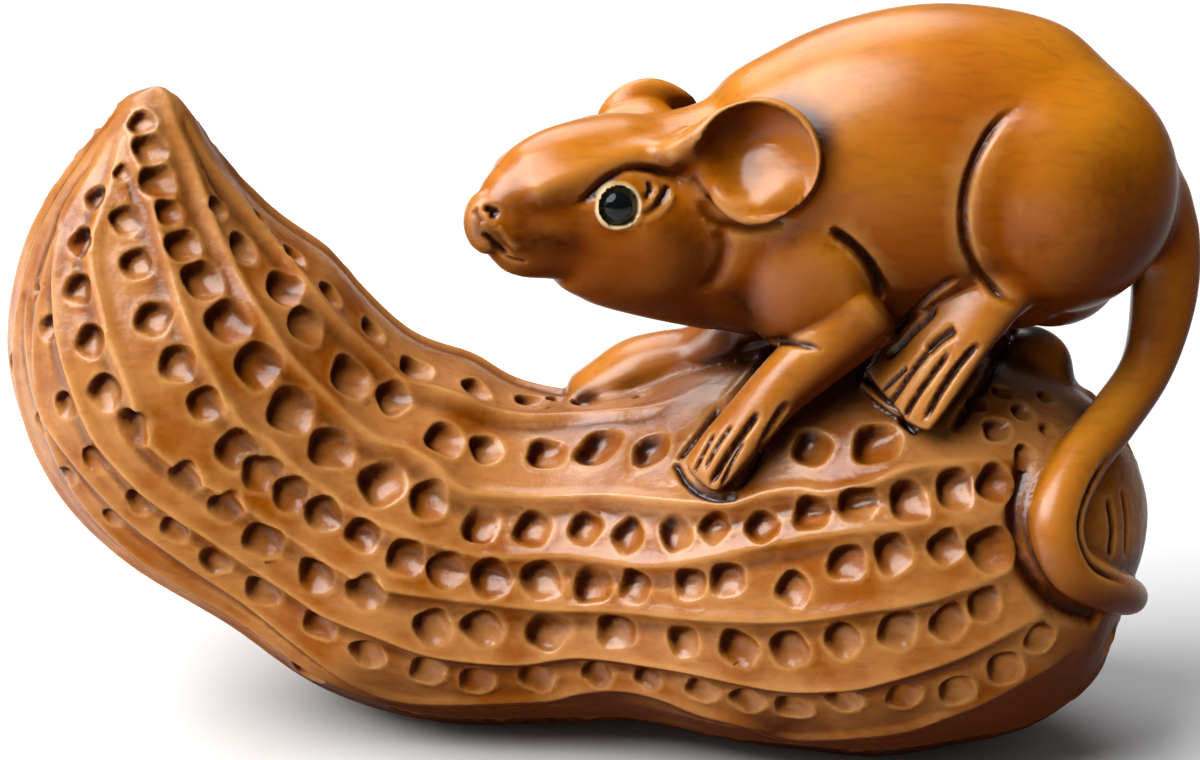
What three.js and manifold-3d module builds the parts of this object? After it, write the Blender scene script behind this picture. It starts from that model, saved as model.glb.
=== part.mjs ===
// Rat on a peanut: one boxwood carving with two inlaid bead eyes.
// Millimetres, +Z up. The rat faces -X, its left side faces -Y, and the carving rests on z = 0.
import * as THREE from "three";
import { mergeVertices } from "three/addons/utils/BufferGeometryUtils.js";
import Module from "manifold-3d";

const wasm = await Module();
wasm.setup();

// Driving dimensions
const LENGTH = 66;
const RIB_HEIGHT = 0.42;
const PIT_PITCH = 3.2;
const PIT_DEPTH = 0.55;
const TAIL_WIDTH = 2.9;
const EAR_THICKNESS = 1.8;
const EAR_HOLLOW_DEPTH = 0.9;
const EAR_RIM_WIDTH = 0.45;
const TOE_WIDTH = 1.1;
const EYE_DIAMETER = 2.1;
const EYE_STAND_OUT = 0.5;
const EYE_CLEARANCE = 0.12;
const EYELID_WIDTH = 0.34;
const MOUTH_WIDTH = 0.3;
const REST_FLAT_DEPTH = 0.45;

// The free form below is set out in millimetres on a carving of this length, and scales with LENGTH
const SET_OUT_LENGTH = 66;
const SHARE = LENGTH / SET_OUT_LENGTH;

// The angles of the ribs round the peanut's left side, in degrees up from level, mirrored on its right side
const RIBS = [77, 42, 22, 4, -15, -32, -50, -68, -86];
// The angle about which the ribs sway along the peanut
const SWAY_MIDDLE = -22;
// Columns from one rib to the next on the left side, and on the plainer right side
const LEFT_COLUMNS = 4;
const RIGHT_COLUMNS = 2;

// Facets
const BODY_SIDES = 18;
const LIMB_SIDES = 8;
const TAIL_SIDES = 8;
const TOE_SIDES = 5;
const MASS_SEGMENTS = 12;
const MASS_RINGS = 6;
const BEAD_SEGMENTS = 12;
const EYELID_SIDES = 5;
const MERGE_DISTANCE = 1e-4;

// A foot has this many toes, each thinner at its knuckle and tip than at the bend between them
const TOES = 4;
const KNUCKLE_SHARE = 0.9;
const TOE_TIP_SHARE = 0.7;
const TOE_BEND_HEIGHT = 1.1;
const TOE_BEND_RISE = 0.45;
const TOE_BEND_PLACE = 0.55;

const UP = new THREE.Vector3(0, 0, 1);
const TO_LEFT = new THREE.Vector3(0, -1, 0);

// A point of the free form
function at(x, y, z) {
  return new THREE.Vector3(x, y, z).multiplyScalar(SHARE);
}

// A section of a swept form: its centre, half its width to the side and half its height
function section(x, y, z, side, up = side) {
  return { centre: at(x, y, z), side: side * SHARE, up: up * SHARE };
}

// A round section of the peanut, and how far its ribs sway up there, in degrees
function podSection(x, y, z, radius, sway) {
  return { ...section(x, y, z, radius), sway };
}

// A closed manifold from rings of points that all have the same count, closed by a point at each end
function solidFromRings(start, rings, end) {
  const sides = rings[0].length;
  const points = [start, ...rings.flat(), end];
  const index = [];
  const last = points.length - 1;
  const ringStart = (ring) => 1 + ring * sides;
  for (let i = 0; i < sides; i += 1) {
    const next = (i + 1) % sides;
    index.push(0, ringStart(0) + next, ringStart(0) + i);
    for (let ring = 0; ring + 1 < rings.length; ring += 1) {
      const here = ringStart(ring);
      const there = ringStart(ring + 1);
      index.push(here + i, here + next, there + next, here + i, there + next, there + i);
    }
    index.push(last, ringStart(rings.length - 1) + i, ringStart(rings.length - 1) + next);
  }
  const geometry = new THREE.BufferGeometry().setFromPoints(points);
  geometry.setIndex(index);
  return toSolid(geometry);
}

// A closed geometry as a manifold
function toSolid(geometry) {
  const bare = geometry.clone();
  bare.deleteAttribute("normal");
  bare.deleteAttribute("uv");
  const merged = mergeVertices(bare, MERGE_DISTANCE);
  return new wasm.Manifold(new wasm.Mesh({
    numProp: 3,
    vertProperties: new Float32Array(merged.attributes.position.array),
    triVerts: new Uint32Array(merged.index.array),
  }));
}

// A manifold as a geometry
function toGeometry(solid) {
  const mesh = solid.getMesh();
  const geometry = new THREE.BufferGeometry();
  geometry.setAttribute("position", new THREE.BufferAttribute(new Float32Array(mesh.vertProperties), 3));
  geometry.setIndex(new THREE.BufferAttribute(new Uint32Array(mesh.triVerts), 1));
  return geometry;
}

// A smooth value through evenly spaced keys
function smooth(keys, place) {
  const i = Math.min(Math.floor(place), keys.length - 2);
  const t = place - i;
  const [a, b, c, d] = [i - 1, i, i + 1, i + 2].map((n) => keys[THREE.MathUtils.clamp(n, 0, keys.length - 1)]);
  return 0.5 * (2 * b + (c - a) * t + (2 * a - 5 * b + 4 * c - d) * t * t + (3 * b - a - 3 * c + d) * t ** 3);
}

// The section at a place along a row of sections, where 2.5 is halfway from the third to the fourth
function sectionAt(sections, place) {
  const read = (pick) => smooth(sections.map(pick), place);
  return {
    centre: new THREE.Vector3(read((s) => s.centre.x), read((s) => s.centre.y), read((s) => s.centre.z)),
    side: read((s) => s.side),
    up: read((s) => s.up),
    sway: read((s) => s.sway ?? 0),
  };
}

// The smooth row of sections through the given ones
function refine(sections, steps) {
  const count = (sections.length - 1) * steps;
  return Array.from({ length: count + 1 }, (_, i) => sectionAt(sections, i / steps));
}

// The direction, side and up of each row of a sweep, with up kept near the hint
function framesAlong(rows, upHint) {
  return rows.map((row, i) => {
    const before = rows[Math.max(i - 1, 0)].centre;
    const after = rows[Math.min(i + 1, rows.length - 1)].centre;
    const along = after.clone().sub(before).normalize();
    const side = upHint.clone().cross(along).normalize();
    const up = along.clone().cross(side).normalize();
    return { along, side, up };
  });
}

// A solid swept through elliptical sections, with a rounded cap at each end
function sweep(rows, { sides = LIMB_SIDES, upHint = UP, capRings = 1, cap = 0.8 } = {}) {
  const frames = framesAlong(rows, upHint);
  const ring = (row, frame, push, share) => Array.from({ length: sides }, (_, i) => {
    const angle = (i / sides) * 2 * Math.PI;
    return row.centre.clone()
      .addScaledVector(frame.along, push)
      .addScaledVector(frame.side, Math.cos(angle) * row.side * share)
      .addScaledVector(frame.up, Math.sin(angle) * row.up * share);
  });
  const first = rows[0];
  const final = rows.at(-1);
  const capLength = (row) => cap * Math.min(row.side, row.up);
  const capAngle = (step) => (step / (capRings + 1)) * (Math.PI / 2);
  const rings = [];
  for (let step = capRings; step > 0; step -= 1) {
    const angle = capAngle(step);
    rings.push(ring(first, frames[0], -Math.sin(angle) * capLength(first), Math.cos(angle)));
  }
  rows.forEach((row, i) => rings.push(ring(row, frames[i], 0, 1)));
  for (let step = 1; step <= capRings; step += 1) {
    const angle = capAngle(step);
    rings.push(ring(final, frames.at(-1), Math.sin(angle) * capLength(final), Math.cos(angle)));
  }
  const start = first.centre.clone().addScaledVector(frames[0].along, -capLength(first));
  const end = final.centre.clone().addScaledVector(frames.at(-1).along, capLength(final));
  return solidFromRings(start, rings, end);
}

// An ellipsoid with its own axes
function ellipsoid(centre, radii, turn, segments = MASS_SEGMENTS) {
  const matrix = new THREE.Matrix4().compose(centre, turn, new THREE.Vector3(...radii));
  return toSolid(new THREE.SphereGeometry(1, segments, MASS_RINGS).applyMatrix4(matrix));
}

// The turn that brings +Z to a direction
function turnTo(direction) {
  return new THREE.Quaternion().setFromUnitVectors(UP, direction.clone().normalize());
}

// A rounded mass of the body, with its radii along X, Y and Z
function mass(centre, x, y, z) {
  return ellipsoid(centre, [x * SHARE, y * SHARE, z * SHARE], new THREE.Quaternion());
}

// The peanut's sections from its raised tip, down its neck and along to its right end
const POD = [
  podSection(-24.6, 1.5, 35.2, 2.0, -28),
  podSection(-24.7, 1.5, 33.0, 3.5, -26),
  podSection(-24.9, 1.5, 30.5, 5.3, -25),
  podSection(-24.9, 1.5, 27.6, 7.2, -23),
  podSection(-24.0, 1.2, 23.9, 9.2, -16),
  podSection(-22.5, 1.0, 20.2, 9.9, -9),
  podSection(-20.0, 0.8, 17.1, 9.7, -5),
  podSection(-15.9, 0.5, 13.8, 9.0, -2),
  podSection(-11.3, 0.2, 11.2, 9.6, 0),
  podSection(-6.8, -0.3, 9.9, 9.6, 1),
  podSection(-1.7, -1.2, 9.9, 9.0, 2),
  podSection(2.2, -2.0, 10.4, 9.1, 4),
  podSection(6.7, -3.0, 11.1, 10.3, 0),
  podSection(11.1, -3.5, 11.5, 11.0, -3),
  podSection(15.0, -3.7, 11.8, 11.5, 1),
  podSection(19.5, -3.7, 12.0, 10.8, 7),
  podSection(22.8, -3.5, 12.0, 9.7, 12),
  podSection(25.6, -3.2, 12.0, 8.2, 14),
  podSection(28.1, -3.0, 12.0, 5.8, 16),
];
const POD_TIP = at(-24.4, 1.5, 36.8);
const POD_END = at(30.3, -2.9, 11.8);
// Where the pod is thinner than this, its relief fades out
const RELIEF_RADIUS = 5 * SHARE;
// Each row faces along the pod between the rows this many before and after it, so that bends stay even
const TURN_ROWS = 4;
// Steps between two sections when the pod's length is measured
const MEASURE_STEPS = 8;

// The columns round the pod: each rib, and those of the panel after it, with their place across the panel
function podColumns(sway) {
  const left = RIBS.map((angle) => (
    angle + sway * Math.cos(THREE.MathUtils.degToRad(angle - SWAY_MIDDLE)) ** 2
  ));
  const ribs = [...left, ...left.map((angle) => -180 - angle).reverse()];
  return ribs.flatMap((angle, panel) => {
    const next = panel + 1 < ribs.length ? ribs[panel + 1] : ribs[0] - 360;
    const count = panel < RIBS.length ? LEFT_COLUMNS : RIGHT_COLUMNS;
    return Array.from({ length: count }, (_, column) => {
      const across = column / count;
      return { panel, across, angle: THREE.MathUtils.degToRad(angle + (next - angle) * across) };
    });
  });
}

// Evenly spaced sections along the pod, two for each pit
function podRows() {
  const fine = refine(POD, MEASURE_STEPS);
  const distance = [0];
  for (let i = 1; i < fine.length; i += 1) {
    distance.push(distance[i - 1] + fine[i].centre.distanceTo(fine[i - 1].centre));
  }
  const count = 2 * Math.round(distance.at(-1) / PIT_PITCH);
  return Array.from({ length: count + 1 }, (_, i) => {
    const wanted = (i / count) * distance.at(-1);
    const passed = distance.filter((value) => value < wanted).length;
    const next = THREE.MathUtils.clamp(passed, 1, distance.length - 1);
    const share = (wanted - distance[next - 1]) / (distance[next] - distance[next - 1]);
    return sectionAt(POD, (next - 1 + share) / MEASURE_STEPS);
  });
}

// The peanut: ribs along it, with a row of pits in the panel between each two ribs
function pod() {
  const rows = podRows();
  const rings = rows.map((row, i) => {
    const before = rows[Math.max(i - TURN_ROWS, 0)].centre;
    const after = rows[Math.min(i + TURN_ROWS, rows.length - 1)].centre;
    const along = after.clone().sub(before).normalize();
    const inner = TO_LEFT.clone().cross(along).normalize();
    const left = along.clone().cross(inner);
    const relief = Math.min(row.up / RELIEF_RADIUS, 1);
    return podColumns(row.sway).map(({ panel, across, angle }) => {
      const isPit = across === 0.5 && (i + panel) % 2 === 0;
      const height = (across === 0 ? RIB_HEIGHT : 0) - (isPit ? PIT_DEPTH : 0);
      return row.centre.clone()
        .addScaledVector(left, Math.cos(angle) * (row.side + height * relief))
        .addScaledVector(inner, Math.sin(angle) * (row.up + height * relief));
    });
  });
  return solidFromRings(POD_TIP, rings, POD_END);
}

// The rat's body, neck and head in one sweep from rump to nose
function bodyAndHead() {
  return sweep([
    section(30.7, -1.6, 30.4, 2.8, 2.9),
    section(28.3, -1.8, 32.0, 5.2, 5.5),
    section(24.5, -2.2, 32.7, 6.9, 8.5),
    section(19.5, -2.6, 33.6, 7.5, 9.0),
    section(15.2, -3.0, 33.3, 7.2, 8.9),
    section(10.9, -3.2, 32.3, 6.4, 8.0),
    section(7.6, -3.6, 31.4, 5.7, 7.0),
    section(4.9, -4.2, 31.4, 5.2, 6.1),
    section(2.2, -5.2, 31.9, 4.9, 5.5),
    section(0.0, -6.3, 32.7, 4.4, 5.1),
    section(-2.1, -7.4, 33.3, 3.5, 4.3),
    section(-4.3, -8.5, 33.2, 2.6, 3.4),
    section(-5.5, -9.2, 33.3, 2.0, 2.4),
    section(-6.2, -9.6, 33.4, 1.4, 1.6),
  ], { sides: BODY_SIDES, capRings: 2 });
}

// Toes side by side, each from its knuckle on one line to its tip on another
function toes(knuckles, tips) {
  const half = TOE_WIDTH / 2;
  return Array.from({ length: TOES }, (_, i) => {
    const share = i / (TOES - 1);
    const knuckle = knuckles[0].clone().lerp(knuckles[1], share);
    const tip = tips[0].clone().lerp(tips[1], share);
    const bend = knuckle.clone().lerp(tip, TOE_BEND_PLACE).addScaledVector(UP, half * TOE_BEND_RISE);
    return sweep([
      { centre: knuckle, side: half * KNUCKLE_SHARE, up: half * KNUCKLE_SHARE },
      { centre: bend, side: half, up: half * TOE_BEND_HEIGHT },
      { centre: tip, side: half * TOE_TIP_SHARE, up: half * TOE_TIP_SHARE },
    ], { sides: TOE_SIDES });
  });
}

// The haunch on the rat's left and the foot under it
function leftHindLeg() {
  return [
    mass(at(24.7, -5.4, 33.0), 5.7, 5.6, 6.0),
    sweep([
      section(22.6, -7.2, 28.2, 1.9, 2.0),
      section(21.2, -7.9, 26.8, 1.8, 1.6),
      section(19.6, -8.4, 25.3, 2.0, 1.3),
      section(18.0, -8.8, 23.9, 2.3, 0.9),
      section(17.0, -9.1, 22.9, 2.4, 0.6),
    ], { upHint: at(-0.3, -0.5, 1) }),
    ...toes([at(17.4, -7.1, 25.1), at(20.0, -9.9, 23.9)], [at(14.4, -7.5, 23.3), at(18.3, -10.8, 21.5)]),
  ];
}

// The haunch on the rat's right and the foot under it
function rightHindLeg() {
  return [
    mass(at(24.7, 1.2, 32.6), 5.7, 5.4, 5.8),
    sweep([
      section(22.8, 1.0, 28.2, 2.0, 2.4),
      section(21.2, 1.8, 26.4, 1.9, 2.0),
      section(19.2, 2.3, 24.6, 2.2, 1.5),
      section(17.2, 2.7, 23.2, 2.5, 1.0),
      section(15.8, 3.0, 22.5, 2.4, 0.6),
    ], { upHint: at(-0.3, 0.5, 1) }),
    ...toes([at(17.4, 0.9, 23.7), at(19.2, 4.0, 22.4)], [at(14.4, 1.4, 23.3), at(17.4, 4.9, 21.4)]),
  ];
}

// The shoulder on the rat's left, with the foreleg reaching down and forward
function leftForeleg() {
  return [
    mass(at(11.6, -6.6, 29.0), 4.4, 3.8, 5.0),
    sweep([
      section(14.0, -8.2, 27.4, 2.3, 2.4),
      section(11.6, -9.0, 25.2, 1.8, 1.9),
      section(9.4, -9.6, 23.2, 1.6, 1.5),
      section(7.8, -10.2, 21.5, 1.8, 1.0),
      section(6.5, -10.7, 20.1, 1.8, 0.6),
    ], { upHint: at(-0.4, -0.5, 1) }),
    ...toes([at(6.9, -9.1, 21.6), at(8.9, -10.9, 20.7)], [at(4.4, -10.1, 19.4), at(7.0, -12.0, 18.5)]),
  ];
}

// The foreleg on the rat's right, stretched out along the top of the peanut
function rightForeleg() {
  return [
    mass(at(11.0, 0.2, 28.0), 4.2, 3.6, 5.0),
    sweep([
      section(9.9, 0.4, 24.2, 2.4, 2.8),
      section(7.5, 0.9, 22.6, 2.0, 2.0),
      section(5.6, 1.4, 21.5, 1.7, 1.6),
      section(3.7, 1.7, 21.0, 1.6, 1.4),
      section(2.2, 1.9, 20.6, 1.6, 1.3),
      section(0.6, 1.9, 20.0, 1.6, 1.1),
    ]),
    ...toes([at(1.6, 0.8, 20.2), at(1.6, 3.4, 20.0)], [at(-1.5, 0.9, 19.6), at(-1.4, 3.5, 19.2)]),
  ];
}

// The tail hangs clear of the rump, hooks over the peanut's right end and lies against it
function tail() {
  const half = TAIL_WIDTH / 2;
  const band = (x, y, z, share) => ({ centre: at(x, y, z), side: half * share, up: half * share });
  return sweep([
    band(29.8, -1.6, 33.2, 1.5),
    band(31.0, -1.8, 31.1, 1.2),
    band(31.7, -2.0, 28.3, 1.0),
    band(31.3, -2.8, 25.4, 0.95),
    band(30.1, -4.4, 22.6, 0.95),
    band(27.9, -6.9, 20.6, 1.0),
    band(25.8, -9.6, 19.0, 1.05),
    band(24.5, -12.0, 16.9, 1.1),
    band(25.0, -12.7, 14.6, 1.05),
    band(26.8, -11.6, 12.8, 0.95),
    band(28.5, -9.0, 11.1, 0.8),
    band(29.4, -5.8, 9.5, 0.65),
    band(29.0, -2.6, 8.3, 0.5),
  ], { upHint: TO_LEFT, sides: TAIL_SIDES });
}

// A round ear of a given radius, with a dished hollow that faces out along a direction
function ear(centre, radius, outward) {
  const turn = turnTo(outward);
  const half = EAR_THICKNESS / 2;
  const shell = ellipsoid(centre, [radius, radius, half], turn);
  const hollowCentre = centre.clone().addScaledVector(outward.clone().normalize(), half);
  const hollowRadius = radius - EAR_RIM_WIDTH;
  return shell.subtract(ellipsoid(hollowCentre, [hollowRadius, hollowRadius, EAR_HOLLOW_DEPTH], turn));
}

// An inlaid eye: the place on the skin that it looks out of, and the direction
const LEFT_EYE = { skin: at(1.0, -10.1, 34.1), outward: at(0.21, -0.95, 0.22).normalize() };
const RIGHT_EYE = { skin: at(-2.7, -3.3, 34.1), outward: at(-0.62, 0.75, 0.22).normalize() };

// A ball round the middle of an eye's bead, larger than the bead by a clearance
function eyeBall(eye, clearance) {
  const depth = EYE_DIAMETER / 2 - EYE_STAND_OUT;
  const centre = eye.skin.clone().addScaledVector(eye.outward, -depth);
  const radius = EYE_DIAMETER / 2 + clearance;
  return ellipsoid(centre, [radius, radius, radius], turnTo(eye.outward), BEAD_SEGMENTS);
}

// The raised rim of wood round an eye
function eyelid(eye) {
  const depth = EYE_DIAMETER / 2 - EYE_STAND_OUT;
  const opening = Math.sqrt((EYE_DIAMETER / 2 + EYE_CLEARANCE) ** 2 - depth ** 2);
  const ring = new THREE.TorusGeometry(opening + EYELID_WIDTH / 2, EYELID_WIDTH / 2, EYELID_SIDES, BEAD_SEGMENTS);
  return toSolid(ring.applyQuaternion(turnTo(eye.outward)).translate(eye.skin.x, eye.skin.y, eye.skin.z));
}

// The cut of the mouth, from under the nose back along the left cheek
function mouth() {
  const half = MOUTH_WIDTH / 2;
  const cut = (x, y, z) => ({ centre: at(x, y, z), side: half, up: half });
  return sweep([
    cut(-6.6, -9.6, 31.9),
    cut(-5.4, -10.4, 31.6),
    cut(-3.8, -10.4, 31.2),
    cut(-2.2, -10.2, 31.0),
  ], { sides: TOE_SIDES });
}

// All of the wood, with the eyes' sockets cut and the underside cut flat where it rests
function carving() {
  const grown = [
    bodyAndHead(),
    mass(at(17.8, -2.8, 30.2), 7.5, 5.6, 7.0),
    ...leftHindLeg(),
    ...rightHindLeg(),
    ...leftForeleg(),
    ...rightForeleg(),
    tail(),
    mass(at(5.7, -7.9, 35.2), 1.9, 1.8, 2.6),
    ear(at(8.4, -9.2, 36.4), 3.4 * SHARE, at(-0.08, -0.9, 0.35)),
    mass(at(3.9, -0.3, 34.0), 2.2, 2.0, 2.6),
    ear(at(2.6, 0.9, 34.8), 3.1 * SHARE, at(-0.6, 0.75, 0.3)),
    eyelid(LEFT_EYE),
    eyelid(RIGHT_EYE),
  ];
  const below = new THREE.BoxGeometry(2 * LENGTH, 2 * LENGTH, LENGTH);
  const cuts = [
    eyeBall(LEFT_EYE, EYE_CLEARANCE),
    eyeBall(RIGHT_EYE, EYE_CLEARANCE),
    mouth(),
    toSolid(below.translate(0, 0, REST_FLAT_DEPTH - LENGTH / 2)),
  ];
  const whole = grown.reduce((sum, part) => sum.add(part), pod());
  return cuts.reduce((rest, cut) => rest.subtract(cut), whole);
}

const boxwood = new THREE.MeshStandardMaterial({ color: 0xb0701f, roughness: 0.35, metalness: 0 });
const blackBead = new THREE.MeshStandardMaterial({ color: 0x0b0c10, roughness: 0.1, metalness: 0 });

function namedMesh(name, solid, material) {
  const mesh = new THREE.Mesh(toGeometry(solid), material);
  mesh.name = name;
  return mesh;
}

const figurine = new THREE.Group();
figurine.add(namedMesh("carving", carving(), boxwood));
figurine.add(namedMesh("left_eye", eyeBall(LEFT_EYE, 0), blackBead));
figurine.add(namedMesh("right_eye", eyeBall(RIGHT_EYE, 0), blackBead));

// The origin is under the middle of the carving, on the plane that it rests on
const reach = new THREE.Box3().setFromObject(figurine);
const middle = reach.getCenter(new THREE.Vector3());
figurine.position.set(-middle.x, -middle.y, -REST_FLAT_DEPTH);

export default figurine;
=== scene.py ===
"""Rat on a peanut: a polished boxwood carving with inlaid bead eyes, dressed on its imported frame."""

import logging
import math
import random
from dataclasses import dataclass, field
from enum import Enum
from functools import cached_property

import bpy
import numpy as np
from mathutils import Matrix, Vector
from mathutils.bvhtree import BVHTree
from mathutils.kdtree import KDTree


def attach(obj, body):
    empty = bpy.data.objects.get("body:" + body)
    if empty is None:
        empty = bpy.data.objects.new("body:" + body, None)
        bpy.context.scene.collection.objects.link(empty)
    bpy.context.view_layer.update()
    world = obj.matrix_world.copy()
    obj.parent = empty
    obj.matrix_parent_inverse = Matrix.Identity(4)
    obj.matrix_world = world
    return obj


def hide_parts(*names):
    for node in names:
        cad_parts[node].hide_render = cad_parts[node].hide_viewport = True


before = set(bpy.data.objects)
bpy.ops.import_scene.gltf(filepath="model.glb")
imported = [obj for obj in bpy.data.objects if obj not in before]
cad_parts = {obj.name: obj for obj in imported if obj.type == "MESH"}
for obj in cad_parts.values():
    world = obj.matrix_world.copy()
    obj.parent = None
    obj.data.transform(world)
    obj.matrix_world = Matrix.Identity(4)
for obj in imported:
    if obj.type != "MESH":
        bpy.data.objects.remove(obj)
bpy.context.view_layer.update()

LOG = logging.getLogger("figurine")

# The carving is shaped in millimetres, on the frame's axes but before its origin is moved under its middle
MM = 0.001
TO_FRAME = Vector((0.025, 2.136, -0.45))

# The direction that the photograph's main light comes from
# The painted shade and the painted sheen of the wood follow how far the skin faces this way
TOWARDS_LIGHT = np.array((-0.75, 0.0, 0.66))

# Fineness of the clay that the carving is shaped in, its first smoothing, and the faces that it keeps
VOXEL = 0.13
FIRST_ROUNDS = 3
TRIANGLES_KEPT = 192_000
SEED = 7

# How far one round of smoothing goes, and how soon a smoothed spot weakens towards its edge
RELAX_STEP = 0.5
SPOT_EDGE = 1.4

# A stroke's reach in half widths and the steepness of its fall
STROKE_REACH = 2.4
STROKE_FALL = 1.6

# Strokes under this half width run out to nothing, over one part in so many at each end
NARROW = 0.6
END_PARTS = 5

# Paths are traced in at least so many steps from key to key, and one for each so many pixels
FEWEST_STEPS = 4
STEP_PIXELS = 2

# How far round a bead's ball the socket is sunk, in radii
SOCKET_REACH = 1.2

# Points nearer than this are one, and no length that is divided by is taken as less than the smallest
SAME_PLACE = 1e-5
SMALLEST = 1e-12

Pixel = tuple[float, float]
Point = tuple[float, float, float]
Colour = tuple[int, int, int]


class Finish(Enum):
    """The two materials of the carving."""

    BOXWOOD = "boxwood"
    BEAD = "black_bead"


class Plane(Enum):
    """The middle planes that a stroke may be mirrored across, to the hidden side."""

    BODY = "body"
    HEAD = "head"


class Mask(Enum):
    """The values that the carving's mesh holds at each vertex: to 1 from 0, or from -1 in the last two."""

    STAIN_AND_PAINTED_SHADE = "stain_and_painted_shade"
    PIT = "pit"
    HUSK = "husk"
    RUBBED = "rubbed"
    PATINA_AND_PAINTED_SHADE = "patina_and_painted_shade"
    UPWARD = "upward"
    TOWARDS = "towards"


@dataclass(frozen=True)
class PhotoCamera:
    """The camera that the object was seen through, in millimetres before the origin is moved.

    Attributes:
        clip: The nearest and the farthest that it sees, in shares of its distance.
    """

    elevation: float = math.radians(22.0)
    distance: float = 297.0
    lens: float = 160.0
    sensor: float = 36.0
    target: Point = (0.0, 0.0, 20.1)
    width: int = 1200
    height: int = 760
    clip: tuple[float, float] = (0.1, 30.0)

    @property
    def forward(self) -> Vector:
        """The direction that the camera looks along."""
        return Vector((0, math.cos(self.elevation), -math.sin(self.elevation)))

    @property
    def place(self) -> Vector:
        """Where the camera stands."""
        return Vector(self.target) - self.forward * self.distance

    def ray(self, pixel: Pixel) -> Vector:
        """The direction from the camera through a pixel of the photograph's frame.

        Args:
            pixel: Column and row, from the frame's top left.

        Returns:
            A unit vector.
        """
        step = self.sensor / self.lens / self.width
        up = Vector((0, math.sin(self.elevation), math.cos(self.elevation)))
        across = Vector((1, 0, 0)) * ((pixel[0] - self.width / 2) * step)
        return (self.forward + across - up * ((pixel[1] - self.height / 2) * step)).normalized()

    def build(self) -> bpy.types.Object:
        """Adds the scene's camera.

        Returns:
            The camera object.
        """
        bpy.ops.object.camera_add(location=(self.place + TO_FRAME) * MM)
        camera = bpy.context.active_object
        camera.rotation_euler = (math.pi / 2 - self.elevation, 0, 0)
        camera.data.lens = self.lens
        camera.data.sensor_width = self.sensor
        camera.data.clip_start = self.distance * MM * self.clip[0]
        camera.data.clip_end = self.distance * MM * self.clip[1]
        bpy.context.scene.camera = camera
        return camera


CAMERA = PhotoCamera()


def deselect() -> None:
    """Leaves nothing selected."""
    bpy.ops.object.select_all(action="DESELECT")


def pick(*pieces: bpy.types.Object) -> None:
    """Selects the given pieces alone, with the first as the active one.

    Args:
        pieces: The pieces.
    """
    deselect()
    for piece in pieces:
        piece.select_set(True)
    bpy.context.view_layer.objects.active = pieces[0]


def read_rows(items: bpy.types.bpy_prop_collection, name: str, width: int, kind: type = float) -> np.ndarray:
    """Reads one property of a mesh's vertices, normals or edges.

    Args:
        items: The vertices, normals or edges.
        name: The property's name.
        width: How many numbers each of them has.
        kind: The numbers' type.

    Returns:
        One row for each of them.
    """
    flat = np.empty(len(items) * width, dtype=kind)
    items.foreach_get(name, flat)
    return flat.reshape(-1, width)


def read_mask(mesh: bpy.types.Mesh, mask: Mask) -> np.ndarray:
    """Reads one of a mesh's own masks.

    Args:
        mesh: The mesh.
        mask: Which of them.

    Returns:
        A value for each vertex, which is nought where the mesh has no such mask.
    """
    values = np.zeros(len(mesh.vertices), np.float32)
    layer = mesh.attributes.get(mask.value)
    if layer:
        layer.data.foreach_get("value", values)
    return values.astype(float)


def keep_mask(mesh: bpy.types.Mesh, mask: Mask, values: np.ndarray) -> None:
    """Writes one of a mesh's own masks, from a value for each vertex."""
    layer = mesh.attributes.get(mask.value) or mesh.attributes.new(mask.value, "FLOAT", "POINT")
    layer.data.foreach_set("value", values.astype(np.float32))


def neighbour_total(ends: np.ndarray, values: np.ndarray) -> np.ndarray:
    """Adds up the values of each vertex's neighbours.

    Args:
        ends: The first and the second end of each edge, in two rows.
        values: One row for each vertex.

    Returns:
        Rows of the same shape.
    """
    a, b = ends
    return np.stack([np.bincount(a, c[b], len(c)) + np.bincount(b, c[a], len(c)) for c in values.T], 1)


def bell(distance: np.ndarray, middle: float, width: float | np.ndarray) -> np.ndarray:
    """A smooth rise over distances, which is 1 at its middle and next to nothing two widths away."""
    return np.exp(-(((distance - middle) / width) ** 2))


def smooth_row(keys: np.ndarray, steps: int) -> np.ndarray:
    """A smooth row of values through the given ones.

    Args:
        keys: One row of numbers for each key.
        steps: How many steps there are from one key to the next.

    Returns:
        The rows, with the keys among them.
    """
    padded = np.vstack([keys[:1], keys, keys[-1:]])
    rows = []
    for i in range(len(keys) - 1):
        a, b, c, d = padded[i : i + 4]
        for step in range(steps):
            t = step / steps
            bend = (2 * a - 5 * b + 4 * c - d) * t**2
            twist = (3 * b - a - 3 * c + d) * t**3
            rows.append(0.5 * (2 * b + (c - a) * t + bend + twist))
    return np.array([*rows, keys[-1]])


def unit(rows: np.ndarray) -> np.ndarray:
    """Rows of vectors, each made one long."""
    return rows / np.maximum(np.linalg.norm(rows, axis=-1, keepdims=True), SMALLEST)


def wrap_grid(name: str, rings: np.ndarray) -> bpy.types.Object:
    """A closed skin over rings of points.

    Args:
        name: Name of the object.
        rings: Points as [ring, place round the ring, axis]. The first and the last ring are each one point.

    Returns:
        The skin, with its faces pointing outwards.
    """
    count, around = rings.shape[:2]
    deselect()
    bpy.ops.mesh.primitive_grid_add(x_subdivisions=around, y_subdivisions=count - 1, size=2)
    skin = bpy.context.active_object
    skin.name = name
    flat = read_rows(skin.data.vertices, "co", 3)
    column = np.rint((flat[:, 0] + 1) / 2 * around).astype(int) % around
    row = np.rint((flat[:, 1] + 1) / 2 * (count - 1)).astype(int)
    skin.data.vertices.foreach_set("co", rings[row, column].ravel())
    bpy.ops.object.mode_set(mode="EDIT")
    bpy.ops.mesh.select_all(action="SELECT")
    bpy.ops.mesh.remove_doubles(threshold=SAME_PLACE)
    bpy.ops.mesh.normals_make_consistent(inside=False)
    bpy.ops.object.mode_set(mode="OBJECT")
    return skin


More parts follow.
